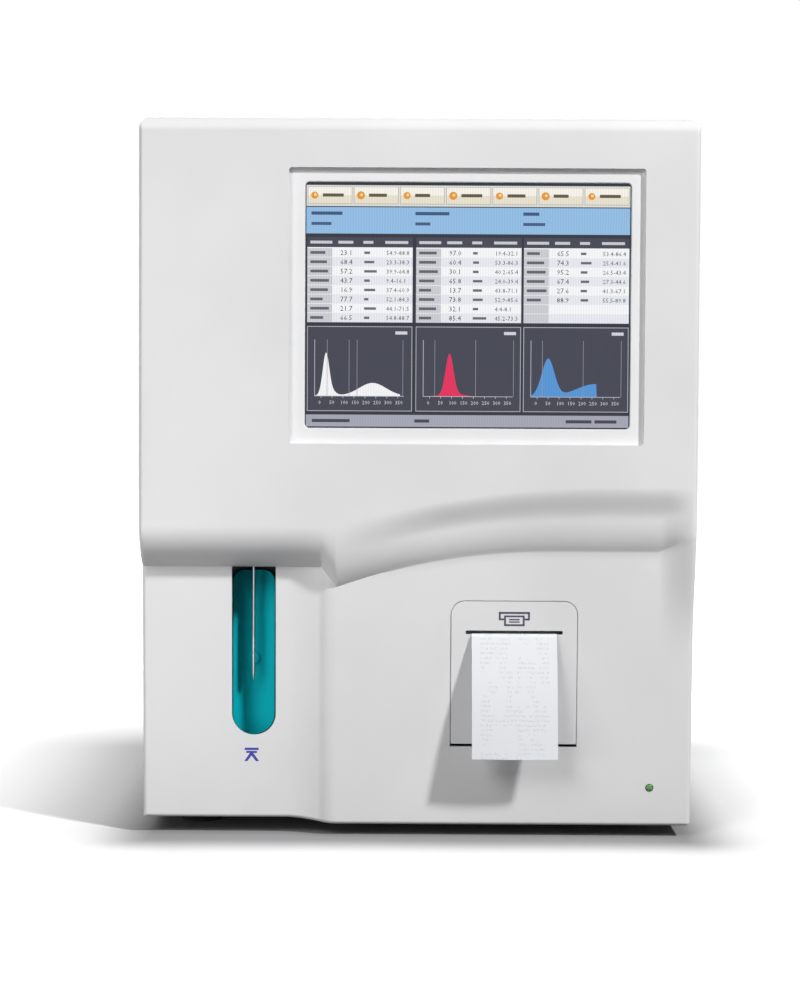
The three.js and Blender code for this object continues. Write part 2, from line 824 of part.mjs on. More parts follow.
// Needle drive: the needle hangs in a carriage that a screw lifts along two rods.
function needleDrive() {
  const group = new THREE.Group();
  group.position.set(needleX, frontY + slotDepth, 0);
  analyzer.add(group);
  const driveY = driveSetback;
  const needleY = needleSetback;
  const needle = turned([[0, 0], [needleRadius * needleTipShare, 0], [needleRadius, needleTipLong],
    [needleRadius, needleTopZ - needleTipZ], [0, needleTopZ - needleTipZ]], 12);
  finish('probe_needle', needle, brightSteel, group, [0, needleY, needleTipZ]);

  const half = carriageWidth / 2;
  const slide = block(carriageWidth, carriageDepth, carriageHeight, 0, driveY, carriageHeight / 2);
  const arm = span([-armWidth / 2, needleY - armWidth / 2, 0], [armWidth / 2, driveY, armHeight]);
  const bores = [-rodSpread / 2, rodSpread / 2].map((x) =>
    round('z', rodRadius + 2 * runningGap, 3 * carriageHeight, x, driveY, 0));
  const nut = round('z', screwRadius + 2 * runningGap, 3 * carriageHeight, 0, driveY, 0);
  const grip = round('z', needleRadius + runningGap, 3 * carriageHeight, 0, needleY, 0);
  const carriage = less(union(slide, arm), ...bores, nut, grip);
  finish('probe_carriage', carriage, whiteNylon, group, [0, 0, carriageLow]);

  for (const [name, side] of [['left_guide_rod', -1], ['right_guide_rod', 1]]) {
    const length = liftTopZ - shelfZ;
    const rod = round('z', rodRadius, length, 0, 0, length / 2);
    finish(name, rod, brightSteel, group, [(side * rodSpread) / 2, driveY, shelfZ]);
  }
  const screwLength = liftTopZ - shelfZ - touch;
  const screw = round('z', screwRadius, screwLength, 0, 0, screwLength / 2);
  finish('lift_screw', screw, brightSteel, group, [0, driveY, shelfZ]);

  const wide = liftPlateWidth / 2;
  const backFace = driveY + shelfDepth / 2;
  const upright = span([-wide, backFace, floorZ], [wide, backFace + liftPlateThick, liftTopZ]);
  const foot = span([-wide, backFace, floorZ],
    [wide, backFace + liftFootDepth, floorZ + liftPlateThick]);
  const shelves = [shelfZ, liftTopZ - shelfThick].map((z) =>
    span([-wide, driveY - shelfDepth / 2, z], [wide, backFace + seam, z + shelfThick]));
  const seats = [-rodSpread / 2, 0, rodSpread / 2].map((x) =>
    round('z', (x ? rodRadius : screwRadius) + 2 * runningGap, 2 * liftTopZ, x, driveY, liftTopZ));
  finish('lift_frame', less(union(upright, foot, ...shelves), ...seats), zincSteel, group);

  const side = motorSide / 2;
  const corner = motorChamfer;
  const body = new THREE.Shape([[-side + corner, -side], [side - corner, -side], [side, -side + corner],
    [side, side - corner], [side - corner, side], [-side + corner, side], [-side, side - corner],
    [-side, -side + corner]].map(([x, y]) => new THREE.Vector2(x, y)));
  const geometry = new THREE.ExtrudeGeometry(body, { depth: motorLength, bevelEnabled: false });
  finish('lift_motor', toSolid(geometry), blackMetal, group, [0, driveY, liftTopZ + touch]);
}

// Toothed wheels for the printer's drive.
const pressureAngle = Math.PI / 9;
const backlashShare = 0.06;
const tipShare = 0.9;
const rootShare = 1.15;
const flankSteps = 2;

function involute(angle) {
  return Math.tan(angle) - angle;
}

function gearOutline(teeth, turn = 0) {
  const pitch = (gearModule * teeth) / 2;
  const base = pitch * Math.cos(pressureAngle);
  const tip = pitch + gearModule * tipShare;
  const root = pitch - gearModule * rootShare;
  const halfTooth = (Math.PI / teeth) * (1 / 2 - backlashShare);
  const start = Math.max(base, root);
  const flank = Array.from({ length: flankSteps + 1 }, (_, step) => {
    const radius = start + ((tip - start) * step) / flankSteps;
    const spread = involute(pressureAngle) - involute(Math.acos(Math.min(1, base / radius)));
    return [radius, halfTooth + spread];
  });
  const points = [];
  for (let tooth = 0; tooth < teeth; tooth += 1) {
    const centre = turn + (tooth * 2 * Math.PI) / teeth;
    const rise = [[root, flank[0][1]], ...flank];
    for (const [radius, angle] of rise) points.push([radius, centre - angle]);
    for (const [radius, angle] of rise.reverse()) points.push([radius, centre + angle]);
  }
  return new THREE.Shape(points.map(([radius, angle]) =>
    new THREE.Vector2(radius * Math.cos(angle), radius * Math.sin(angle))));
}

// Printer: door, frame, head, platen with its gear, motor and roll, all in the lean of the lower panel.
function printerGroup() {
  const group = new THREE.Group();
  group.position.set(doorX, frontY + panelFaceY, doorLow);
  group.rotation.x = leanAngle;
  analyzer.add(group);
  const half = doorWidth / 2;
  const bayHalf = bayWidth / 2;
  const cheek = bayHalf + bayWall;

  const outline = roundedBox(-half, 0, half, doorHeight, [0, 0, doorRound, doorRound]);
  const slit = span([-paperSlotWidth / 2, -overrun, paperSlotZ - paperSlotHigh / 2],
    [paperSlotWidth / 2, 2 * overrun, paperSlotZ + paperSlotHigh / 2]);
  const knuckleX = half - 2 * knuckleLength;
  const knuckles = [-1, 1].map((side) => {
    const left = Math.min(side * knuckleX, side * (knuckleX + knuckleLength));
    const middle = left + knuckleLength / 2;
    const barrel = round('x', knuckleRadius, knuckleLength, middle, pinSetback, pinHeight, 12);
    const root = span([left, doorThick - seam, pinHeight - knuckleRadius],
      [left + knuckleLength, pinSetback, pinHeight + knuckleRadius]);
    return union(barrel, root);
  });
  const pinBore = round('x', pinRadius + 2 * runningGap, 2 * doorWidth, 0, pinSetback, pinHeight, 12);
  const door = less(union(plate(outline, 0, doorThick), ...knuckles), slit, pinBore);
  finish('printer_door', door, shellPlastic, group);

  const pin = round('x', pinRadius, doorWidth - knuckleLength, 0, 0, 0, 12);
  finish('door_hinge_pin', pin, brightSteel, group, [0, pinSetback, pinHeight]);

  printerFrame(group, cheek, bayHalf, pinBore);

  const head = union(
    span([-bayHalf + 4 * touch, 0, 0], [bayHalf - 4 * touch, headDepth, headHeight]),
    span([-paperWidth / 2, headDepth - seam, bayWall],
      [paperWidth / 2, headDepth + bayWall, headHeight - bayWall]));
  finish('print_head', head, aluminium, group,
    [0, platenSetback + platenRadius + touch, platenZ - headHeight / 2]);

  const shaft = round('x', platenShaft, 2 * cheek + touch + 2 * gearThick, gearThick, 0, 0, 16);
  const roller = round('x', platenRadius, paperWidth + bayWall, 0, 0, 0, 24);
  const gear = toothed(gearTeeth, 0, cheek + touch + seam);
  finish('platen_roller', union(shaft, roller, gear), rubber, group, [0, platenSetback, platenZ]);

  const reach = (gearModule * (gearTeeth + pinionTeeth)) / 2;
  const outriggerX = cheek + outriggerGap;
  const mesh = toothed(pinionTeeth, Math.PI - Math.PI / pinionTeeth, cheek + touch + seam);
  const axleLong = outriggerGap + outriggerThick;
  const axle = round('x', platenShaft - seam, axleLong, cheek + seam + axleLong / 2, 0, 0, 12);
  finish('motor_pinion', union(mesh, axle), brass, group, [0, platenSetback + reach, platenZ]);
  const stepper = round('x', stepperRadius, stepperLength, stepperLength / 2, 0, 0, 24);
  finish('printer_motor', stepper, blackMetal, group,
    [outriggerX + outriggerThick + touch + seam, platenSetback + reach, platenZ]);

  const paperHalf = paperWidth / 2;
  const roll = turned([[rollCore, -paperHalf], [rollRadius, -paperHalf], [rollRadius, paperHalf],
    [rollCore, paperHalf], [rollCore, -paperHalf]], 24).rotate([0, 90, 0]);
  finish('paper_roll', roll, paper, group, [0, rollSetback, rollZ]);

  finish('paper_strip', profile(stripOutline(), -paperWidth / 2, paperWidth), paper, group);

  const latch = less(
    span([-latchWidth / 2, 0, 0], [latchWidth / 2, latchDepth, latchHeight]),
    span([-latchWidth / 4, -overrun, latchHeight / 4],
      [latchWidth / 4, latchDepth / 2, latchHeight * 3 / 4]));
  const latchZ = bayHigh - bayWall - latchHeight - touch;
  finish('door_latch', latch, portPlastic, group, [0, pinSetback + seam, latchZ]);
}

function toothed(teeth, turn, left) {
  const settings = { depth: gearThick, bevelEnabled: false };
  const geometry = new THREE.ExtrudeGeometry(gearOutline(teeth, turn), settings);
  geometry.rotateY(Math.PI / 2);
  geometry.rotateX(Math.PI / 2);
  geometry.translate(left, 0, 0);
  return toSolid(geometry);
}

function printerFrame(group, cheek, bayHalf, pinBore) {
  const front = coverWall + seam;
  const shell = span([-cheek, front, bayLow], [cheek, bayDepth, bayHigh]);
  const inside = span([-bayHalf, -overrun, bayLow + bayWall],
    [bayHalf, bayDepth - bayWall, bayHigh - bayWall]);
  const cradleTop = rollZ - rollRadius / 2;
  const cradle = span([-bayHalf, pinSetback + hingeRoom, bayLow + bayWall - seam],
    [bayHalf, bayDepth - bayWall + seam, cradleTop]);
  const rollBed = round('x', rollRadius + touch, 2 * doorWidth, 0, rollSetback, rollZ, 24);
  const ears = [-1, 1].map((side) => {
    const left = side < 0 ? -cheek : cheek - bayWall * 3;
    return round('x', knuckleRadius, bayWall * 3, left + bayWall * 1.5, pinSetback, pinHeight, 12);
  });
  const hingeRoomCut = span([-bayHalf, -overrun, bayLow - overrun],
    [bayHalf, pinSetback + hingeRoom, pinHeight + hingeRoom]);
  const shaftHole = round('x', platenShaft + runningGap * 2, 2 * cheek + seam, 0, platenSetback, platenZ);
  const reach = (gearModule * (gearTeeth + pinionTeeth)) / 2;
  const outriggerX = cheek + outriggerGap;
  const wall = span([outriggerX, platenSetback + reach - stepperRadius, platenZ - stepperRadius],
    [outriggerX + outriggerThick, platenSetback + reach + 2 * stepperRadius, platenZ + stepperRadius]);
  const spacer = span([cheek - seam, platenSetback + reach + stepperRadius, platenZ - stepperRadius],
    [outriggerX + seam, platenSetback + reach + 2 * stepperRadius, platenZ + stepperRadius]);
  const axleHole = round('x', platenShaft, outriggerGap * 3, outriggerX, platenSetback + reach, platenZ);
  const bed = cradle.subtract(rollBed);
  const bay = union(less(shell, inside, hingeRoomCut), bed, ...ears, wall, spacer);
  finish('printer_frame', less(bay, pinBore, shaftHole, axleHole),
    portPlastic, group);
}

// The strip leaves the slot at its lower edge and hangs away from the door.
function stripOutline() {
  const slotEdge = paperSlotZ - paperSlotHigh / 2 + touch;
  const line = [[doorThick + seam, slotEdge], [0, slotEdge], [-paperThick * 4, slotEdge - paperThick * 2]];
  const steps = 8;
  const [startY, startZ] = line[2];
  for (let step = 1; step <= steps; step += 1) {
    const share = step / steps;
    const out = startY + (-stripEndOut - startY) * share - stripSag * Math.sin(Math.PI * share);
    line.push([out, startZ + (-stripEndDrop - startZ) * share]);
  }
  const inner = line.map(([y, z]) => new THREE.Vector2(y, z));
  const outer = line.map(([y, z], step) => {
    const hangs = step > 1;
    return new THREE.Vector2(y - (hangs ? paperThick : 0), z + (hangs ? 0 : paperThick));
  });
  return new THREE.Shape([...inner, ...outer.reverse()]);
}

function powerLamp() {
  const [x, z] = lampPlace();
  const group = new THREE.Group();
  group.position.set(doorX, frontY + panelFaceY, doorLow);
  group.rotation.x = leanAngle;
  analyzer.add(group);
  const tail = coverWall + touch;
  const end = -tail - lampLength;
  const step = -tail - lampFlange;
  const rim = lampRadius + lampFlangeLap;
  const lens = turned([[0, end], [lampRadius, end], [lampRadius, step], [rim, step], [rim, -tail],
    [lampRadius, -tail], [lampRadius, 0], [lampRadius * lampDomeShare, lampStand / 2], [0, lampStand]], 14);
  finish('power_lamp', lens.rotate([90, 0, 0]), greenLens, group, [x, 0, z]);
}

// Case: tray, feet, inner plate, side panels, top and rear.
function feet() {
  const profilePoints = [[0, 0], [footRadius - footTaper, 0], [footRadius, footHeight], [0, footHeight]];
  const sides = [['left', -1], ['right', 1]];
  const ends = [['front', frontY + footFrontY], ['rear', backY - footRearInset]];
  for (const [end, y] of ends) {
    for (const [side, sign] of sides) {
      const x = sign * (halfWidth - footInsetX);
      finish(`${end}_${side}_foot`, turned(profilePoints, 20), rubber, analyzer, [x, y, 0]);
    }
  }
}

function baseTray() {
  const side = halfWidth - sheet - touch;
  const front = trayFrontY;
  const back = caseDepth - rearInset - sheet - touch;
  const outer = span([-side, front, trayLow], [side, back, trayLow + trayFlange]);
  const inner = span([-side + sheet, front + sheet, trayTop],
    [side - sheet, back - sheet, trayLow + 2 * trayFlange]);
  finish('base_tray', outer.subtract(inner), zincSteel, analyzer, [0, frontY, 0]);
}

function innerChassis() {
  const side = halfWidth - sheet - touch - sheet - chassisInset;
  const upright = span([-side, 0, floorZ], [side, chassisThick, chassisHigh]);
  const foot = span([-side, 0, floorZ], [side, chassisFoot, floorZ + chassisThick]);
  const pegY = chassisThick + (pegLong - seam) / 2;
  const pegs = boardPegs().map(([x, z]) => round('y', pegRadius, pegLong + seam, x, pegY, z, 10));
  const hoseZ = shieldLow - 4 * drainRadius;
  const hose = round('y', drainRadius * 2, 3 * chassisThick, bathX + bathPitch / 2, chassisThick / 2, hoseZ);
  finish('inner_chassis', union(upright, foot, ...pegs).subtract(hose), zincSteel, analyzer,
    [0, frontY + chassisY, 0]);
}

function boardPegs() {
  const x = boardWide / 2 - 2 * pegRadius;
  const z = boardHigh / 2 - 2 * pegRadius;
  const middle = boardLow + boardHigh / 2;
  return [-1, 1].flatMap((side) => [-1, 1].map((end) => [boardX + side * x, middle + end * z]));
}

function sidePanels() {
  const front = coverReach + seam;
  const skirt = caseTop - trayFlange - cornerRound - seam;
  for (const [name, sign] of [['left_side_panel', -1], ['right_side_panel', 1]]) {
    const x = sign * (halfWidth - sheet / 2);
    const wall = span([-sheet / 2, front, coverBottom], [sheet / 2, caseDepth, skirt]);
    const inward = -sign * trayFlange;
    const lip = span([Math.min(0, inward), front, skirt - sheet],
      [Math.max(0, inward), caseDepth - rearInset - sheet - touch, skirt]);
    const vents = Array.from({ length: ventRows }, (_, row) => span(
      [-overrun, caseDepth - ventBackInset - ventLong, ventLow + row * ventPitch],
      [overrun, caseDepth - ventBackInset, ventLow + row * ventPitch + ventHigh]));
    finish(name, less(union(wall, lip), ...vents), paintedSteel, analyzer, [x, frontY, 0]);
  }
}

function topCover() {
  const outer = caseOutline(0);
  const skirt = caseTop - trayFlange - cornerRound;
  const shell = less(
    plate(outer, coverReach + seam, caseDepth - coverReach - seam),
    plate(caseOutline(sheet), coverReach - overrun, caseDepth),
    span([-caseWidth, 0, -caseTop], [caseWidth, 2 * caseDepth, skirt]));
  finish('top_cover', shell, paintedSteel, analyzer, [0, frontY, 0]);
}

function rearPanel() {
  const side = halfWidth - sheet - touch;
  const high = caseTop - sheet - touch;
  const outline = roundedBox(-side, coverBottom, side, high, [0, 0, cornerRound, cornerRound]);
  const back = plate(outline, 0, sheet);
  const holes = [
    round('y', fanHoleRadius, 3 * overrun, fanX, 0, fanZ, 32),
    span([inletX - inletWidth / 2 + inletFlange, -overrun, inletZ - inletHigh / 2 + inletFlange],
      [inletX + inletWidth / 2 - inletFlange, overrun, inletZ + inletHigh / 2 - inletFlange]),
    span([portLeft + portThick, -overrun, portLow + portThick],
      [portRight - portThick, overrun, portHigh - portThick]),
    span([dataPlateLeft + portThick, -overrun, dataPlateLow + portThick],
      [dataPlateRight - portThick, overrun, dataPlateHigh - portThick]),
    round('y', studRadius + touch, 3 * overrun, studX, 0, studZ),
  ];
  finish('rear_panel', less(back, ...holes), paintedSteel, analyzer, [0, backY - rearInset - sheet, 0]);
}

// Fluid side: baths behind their shield, waste jar, pump and valves.
function baths() {
  const place = [bathX, frontY + bathY, bathZ];
  const profilePoints = [[0, -bathWall * 3], [drainRadius, -bathWall * 3], [drainRadius, -bathWall],
    [bathRadius, -bathWall], [bathRadius, bathHigh], [bathRadius - bathWall, bathHigh],
    [bathRadius - bathWall, bathWall * 2], [0, 0]];
  const cup = turned(profilePoints, 20);
  finish('white_cell_bath', cup, clearAcrylic, analyzer, place);
  const second = [place[0] + bathPitch, place[1], place[2]];
  finish('red_cell_bath', turned(profilePoints, 20), clearAcrylic, analyzer, second);

  const x = bathX + bathPitch / 2;
  const back = chassisY - touch;
  const front = back - shieldDepth;
  const outer = span([x - shieldWidth / 2, front, shieldLow], [x + shieldWidth / 2, back, shieldHigh]);
  const inner = span([x - shieldWidth / 2 + sheet, front + sheet, shieldLow + sheet],
    [x + shieldWidth / 2 - sheet, back - sheet, shieldHigh + overrun]);
  const shelfTop = bathZ - bathWall - touch;
  const shelf = span([x - shieldWidth / 2 + seam, front + seam, shelfTop - sheet],
    [x + shieldWidth / 2 - seam, back - seam, shelfTop]);
  const drains = [bathX, bathX + bathPitch].map((drainX) =>
    round('z', drainRadius * 2, 4 * bathWall, drainX, bathY, bathZ - 2 * bathWall));
  const shield = less(union(outer.subtract(inner), shelf), ...drains);
  finish('bath_shield', shield, zincSteel, analyzer, [0, frontY, 0]);
}

function wasteJar() {
  const neck = jarNeckRadius;
  const jar = turned([[0, 0], [jarRadius, 0], [jarRadius, jarHigh - jarCapHigh], [neck, jarHigh - jarCapHigh],
    [neck, jarHigh], [0, jarHigh]], 24);
  const collar = round('z', neck + jarCapLap, jarCapHigh, 0, 0, jarHigh + jarCapHigh / 2, 24);
  finish('waste_chamber', union(jar, collar), whiteNylon, analyzer, [jarX, frontY + jarY, floorZ]);
}

function vacuumPump() {
  const side = pumpHeadSide / 2;
  const head = span([-side, -side, 0], [side, side, pumpHeadThick]);
  const can = round('z', pumpRadius, pumpLength, 0, 0, pumpHeadThick + pumpLength / 2 - seam / 2, 24);
  finish('vacuum_pump', union(head, can), blackMetal, analyzer, [pumpX, frontY + pumpY, floorZ]);
}

function valves() {
  const back = chassisY - touch;
  const rail = span([valveLeft, back - valveDepth, valveLow], [valveRight, back, valveHigh]);
  const pitch = (valveRight - valveLeft) / valveCount;
  const coilY = back - valveDepth - valveReach / 2 + seam;
  const coilZ = (valveLow + valveHigh) / 2;
  const coils = Array.from({ length: valveCount }, (_, step) => round('y', valveRadius, valveReach,
    valveLeft + pitch * (step + 1 / 2), coilY, coilZ, 14));
  finish('valve_manifold', union(rail, ...coils), whiteNylon, analyzer, [0, frontY, 0]);
}

// Dosing syringe: the plunger starts drawn down and is driven up by a screw beside it.
function syringe() {
  const group = new THREE.Group();
  group.position.set(syringeX, frontY + chassisY - touch, syringeLow);
  analyzer.add(group);
  const axisY = -syringeSetback;
  const wide = plateWidth / 2;
  const barrelZ = plateHigh - barrelHigh - sheet * 4;
  const backPlate = span([-wide, -sheet * 2, 0], [wide, 0, plateHigh]);
  const topShelf = span([-wide, axisY - barrelRadius, plateHigh - sheet * 2], [wide, -sheet, plateHigh]);
  const lowShelf = span([-wide, axisY - barrelRadius, 0], [wide, -sheet, sheet * 2]);
  const screwBore = syringeScrewRadius + 2 * runningGap;
  const screwHole = round('z', screwBore, 3 * plateHigh, syringeScrewSpread, axisY, 0, 16);
  finish('syringe_bracket', less(union(backPlate, topShelf, lowShelf), screwHole), zincSteel, group);

  const roof = barrelHigh - sheet;
  const tube = turned([[0, roof], [barrelBore, roof], [barrelBore, 0], [barrelRadius, 0],
    [barrelRadius, barrelHigh + sheet], [0, barrelHigh + sheet]], 24);
  finish('syringe_barrel', tube, clearAcrylic, group, [0, axisY, barrelZ + sheet - touch]);

  const grip = span([-barrelRadius, -barrelRadius, -nutHigh],
    [syringeScrewSpread + barrelRadius, barrelRadius, 0]);
  const nutBore = round('z', screwBore, 3 * nutHigh, syringeScrewSpread, 0, 0, 16);
  const stemLong = syringeTravel + nutHigh;
  const stem = round('z', plungerStem, stemLong, 0, 0, stemLong / 2 - seam, 16);
  const piston = round('z', plungerRadius, nutHigh, 0, 0, stemLong, 20);
  const restZ = barrelZ - syringeTravel - nutHigh / 2 + touch + seam;
  finish('syringe_plunger', less(union(grip, stem, piston), nutBore), whiteNylon, group, [0, axisY, restZ]);

  const screwLong = plateHigh - touch;
  const screw = round('z', syringeScrewRadius, screwLong, 0, 0, screwLong / 2, 16);
  finish('syringe_screw', screw, brightSteel, group, [syringeScrewSpread, axisY, -touch]);

  const side = syringeMotorSide / 2;
  const motor = span([-side, -side, 0], [side, side, syringeMotorLong]);
  finish('syringe_motor', motor, blackMetal, group,
    [syringeScrewSpread - side / 2, axisY - touch, -syringeMotorLong - 2 * touch]);
}

// Electronics behind the inner plate.
function mainBoard() {
  const half = boardWide / 2;
  const sheetOf = plate(evenBox(-half, 0, half, boardHigh, boardCornerRadius), 0, boardThick);
  const chips = chipPlaceShares.map(([across, up]) => {
    const x = across * boardWide;
    const z = up * boardHigh;
    return span([x - chipHalfWidth, boardThick - seam, z - chipHalfHeight],
      [x + chipHalfWidth, boardThick + chipHigh, z + chipHalfHeight]);
  });
  finish('main_board', union(sheetOf, ...chips), boardGreen, analyzer,
    [boardX, frontY + chassisY + chassisThick + pegLong + touch, boardLow]);
}

function powerSupply() {
  const body = span([supplyLeft, supplyFront, floorZ], [supplyRight, supplyBack, floorZ + supplyHigh]);
  const pitch = supplyWidth / (supplySlots + 1);
  const slots = Array.from({ length: supplySlots }, (_, step) => {
    const x = supplyLeft + (step + 1) * pitch;
    return span([x - ventHigh / 2, supplyFront + supplySlotMargin, floorZ + supplyHigh - supplySlotDepth],
      [x + ventHigh / 2, supplyBack - supplySlotMargin, floorZ + supplyHigh + overrun]);
  });
  finish('power_supply', less(body, ...slots), aluminium, analyzer, [0, frontY, 0]);
}

// Rear fittings. Their group lies on the rear panel's outer face.
function rearFittings() {
  const group = new THREE.Group();
  group.position.set(0, backY - rearInset, 0);
  analyzer.add(group);
  fan(group);
  inlet(group);

  const ports = span([portLeft, touch, portLow], [portRight, touch + portThick, portHigh]);
  const pitch = (portRight - portLeft) / barbCount;
  const barbs = Array.from({ length: barbCount }, (_, step) => {
    const x = portLeft + pitch * (step + 1 / 2);
    const z = (portLow + portHigh) / 2;
    return union(
      round('y', barbHexRadius, portThick * 2, x, touch + portThick * 1.5, z, 6),
      round('y', barbStemRadius, barbLong, x, touch + portThick + barbLong / 2, z, 10),
      round('y', barbRadius, portThick, x, touch + barbLong, z, 10, barbTipRadius));
  });
  const bores = Array.from({ length: barbCount }, (_, step) =>
    round('y', barbBore, 4 * barbLong, portLeft + pitch * (step + 1 / 2), 0, (portLow + portHigh) / 2, 8));
  finish('reagent_port_block', less(union(ports, ...barbs), ...bores), whiteNylon, group);

  const board = span([dataPlateLeft, touch, dataPlateLow],
    [dataPlateRight, touch + dataPlateThick, dataPlateHigh]);
  const shells = dataShellShares.map((share) => {
    const x = dataPlateLeft + (dataPlateRight - dataPlateLeft) * share;
    const z = (dataPlateLow + dataPlateHigh) / 2;
    const ring = (inset) => evenBox(x - dataShellWidth / 2 + inset, z - dataShellHeight / 2 + inset,
      x + dataShellWidth / 2 - inset, z + dataShellHeight / 2 - inset, dataShellRadius - inset);
    return less(plate(ring(0), touch + dataPlateThick - seam, dataShellReach + seam, 3),
      plate(ring(dataShellWall), touch + dataPlateThick, dataShellReach + overrun, 3));
  });
  finish('port_plate', union(board, ...shells), zincSteel, group);

  const stud = round('y', studRadius, studLong + rearInset, 0, (studLong - rearInset) / 2, 0, 16);
  const nut = round('y', nutRadius, nutThick, 0, touch + nutThick / 2, 0, 6);
  finish('earth_post', union(stud, nut), brass, group, [studX, 0, studZ]);
}

function fan(group) {
  const side = fanSide / 2;
  const inside = -sheet - touch;
  const square = plate(evenBox(-side, -side, side, side, fanCornerRadius), 0, fanDeep, 4);
  const bore = round('y', fanHoleRadius, 3 * fanDeep, 0, fanDeep / 2, 0, 32);
  const strut = bladeThick * 2;
  const arms = union(
    span([-side + seam, 0, -strut / 2], [side - seam, strut, strut / 2]),
    span([-strut / 2, 0, -side + seam], [strut / 2, strut, side - seam]),
    round('y', fanHubRadius, strut, 0, strut / 2, 0));
  const bearing = round('y', strut + runningGap * 2, 4 * strut, 0, 0, 0, 12);
  finish('fan_frame', less(union(square.subtract(bore), arms), bearing), darkPlastic, group,
    [fanX, inside - fanDeep, fanZ]);

  const hubDeep = fanDeep - 3 * strut;
  const hub = round('y', fanHubRadius, hubDeep, 0, hubDeep / 2, 0, 24);
  const axle = round('y', strut, 3 * strut, 0, -strut / 2, 0, 12);
  const blades = Array.from({ length: fanBlades }, (_, step) => {
    const blade = new THREE.BoxGeometry(bladeThick, hubDeep, fanBladeReach - fanHubRadius / 2);
    blade.rotateZ(bladePitch);
    blade.translate(0, hubDeep / 2, (fanBladeReach + fanHubRadius / 2) / 2);
    blade.rotateY((step * 2 * Math.PI) / fanBlades);
    return toSolid(blade);
  });
  finish('fan_rotor', union(hub, axle, ...blades), darkPlastic, group,
    [fanX, inside - fanDeep + strut + touch, fanZ]);

  const wires = Array.from({ length: guardRings }, (_, ring) => {
    const radius = ((ring + 1) * fanHoleRadius) / guardRings;
    return less(round('y', radius + guardWire, guardWire, 0, guardWire / 2, 0, 16),
      round('y', radius, 3 * guardWire, 0, guardWire / 2, 0, 16));
  });
  const spokes = [1, -1].map((tilt) => {
    const bar = new THREE.BoxGeometry(2 * fanHoleRadius + 4 * guardWire, guardWire, guardWire * 2);
    bar.rotateY((tilt * Math.PI) / 4);
    bar.translate(0, guardWire, 0);
    return toSolid(bar);
  });
  finish('fan_guard', union(...wires, ...spokes), brightSteel, group, [fanX, touch, fanZ]);
}

function inlet(group) {
  const place = [inletX, touch, inletZ];
  const wide = inletWidth / 2;
  const tall = inletHigh / 2;
  const inner = inletFlange + seam;
  const flange = plate(evenBox(-wide, -tall, wide, tall, inletFlange), 0, inletFlange, 4);
  const body = span([-wide + inner, -inletDeep, -tall + inner], [wide - inner, seam, tall - inner]);
  const mouthHalf = socketWide / 2;
  const mouth = roundedBox(-mouthHalf, socketZ - socketHigh / 2, mouthHalf, socketZ + socketHigh / 2,
    [socketLowRadius, socketLowRadius, socketHighRadius, socketHighRadius]);
  const socket = plate(mouth, inletFlange - socketDeep, socketDeep + overrun, 3);
  const wellWide = rockerWide / 2 + seam;
  const wellHigh = rockerHigh / 2 + seam;
  const well = span([-wellWide, inletFlange - rockerDeep - rockerStand, rockerZ - wellHigh],
    [wellWide, overrun, rockerZ + wellHigh]);
  const floorY = inletFlange - socketDeep;
  const blades = [[-1, 0], [1, 0], [0, 1]].map(([side, up]) => {
    const x = (side * bladeSpread) / 2;
    const z = socketZ + (up * bladeSpread) / 4;
    return span([x - bladeGauge / 2, floorY - seam, z - bladeWide / 2],
      [x + bladeGauge / 2, floorY + bladeLong, z + bladeWide / 2]);
  });
  finish('power_inlet', union(less(union(flange, body), socket, well), ...blades), darkPlastic, group, place);

  const high = rockerHigh / 2 - seam;
  const heel = high * rockerHeelShare;
  const back = -rockerDeep / 2;
  const outline = new THREE.Shape([[back, -heel], [0, -high], [rockerStand, -high], [rockerWaist, 0],
    [rockerStand, high], [0, high], [back, heel]].map(([y, z]) => new THREE.Vector2(y, z)));
  const rocker = profile(outline, -rockerWide / 2 + seam / 2, rockerWide - seam).rotate([rockerTilt, 0, 0]);
  finish('power_rocker', rocker, portPlastic, group, [inletX, touch + inletFlange, inletZ + rockerZ]);
}

screenGroup();
probeBay();
needleDrive();
printerGroup();
powerLamp();
feet();
baseTray();
innerChassis();
sidePanels();
topCover();
rearPanel();
baths();
wasteJar();
vacuumPump();
valves();
syringe();
mainBoard();
powerSupply();
rearFittings();

export default analyzer;
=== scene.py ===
import json
import math
import random
from functools import partialmethod

import bmesh
import bpy
from mathutils import Matrix, Vector


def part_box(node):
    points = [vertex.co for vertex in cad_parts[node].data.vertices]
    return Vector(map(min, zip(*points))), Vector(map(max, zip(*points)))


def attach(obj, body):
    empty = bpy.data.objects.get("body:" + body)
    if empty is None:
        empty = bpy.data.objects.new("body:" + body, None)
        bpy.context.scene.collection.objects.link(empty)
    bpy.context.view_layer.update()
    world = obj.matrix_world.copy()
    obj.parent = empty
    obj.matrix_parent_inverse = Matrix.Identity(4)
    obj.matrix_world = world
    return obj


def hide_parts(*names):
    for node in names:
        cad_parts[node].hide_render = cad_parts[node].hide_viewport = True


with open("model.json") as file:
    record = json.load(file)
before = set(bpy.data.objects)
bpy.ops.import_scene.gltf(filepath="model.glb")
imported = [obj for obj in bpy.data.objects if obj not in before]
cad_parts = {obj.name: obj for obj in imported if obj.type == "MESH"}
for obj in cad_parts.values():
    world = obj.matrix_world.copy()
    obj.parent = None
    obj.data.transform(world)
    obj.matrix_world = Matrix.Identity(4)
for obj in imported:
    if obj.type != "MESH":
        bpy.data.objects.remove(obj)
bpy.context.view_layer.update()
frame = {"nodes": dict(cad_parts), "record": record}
mm = 0.001

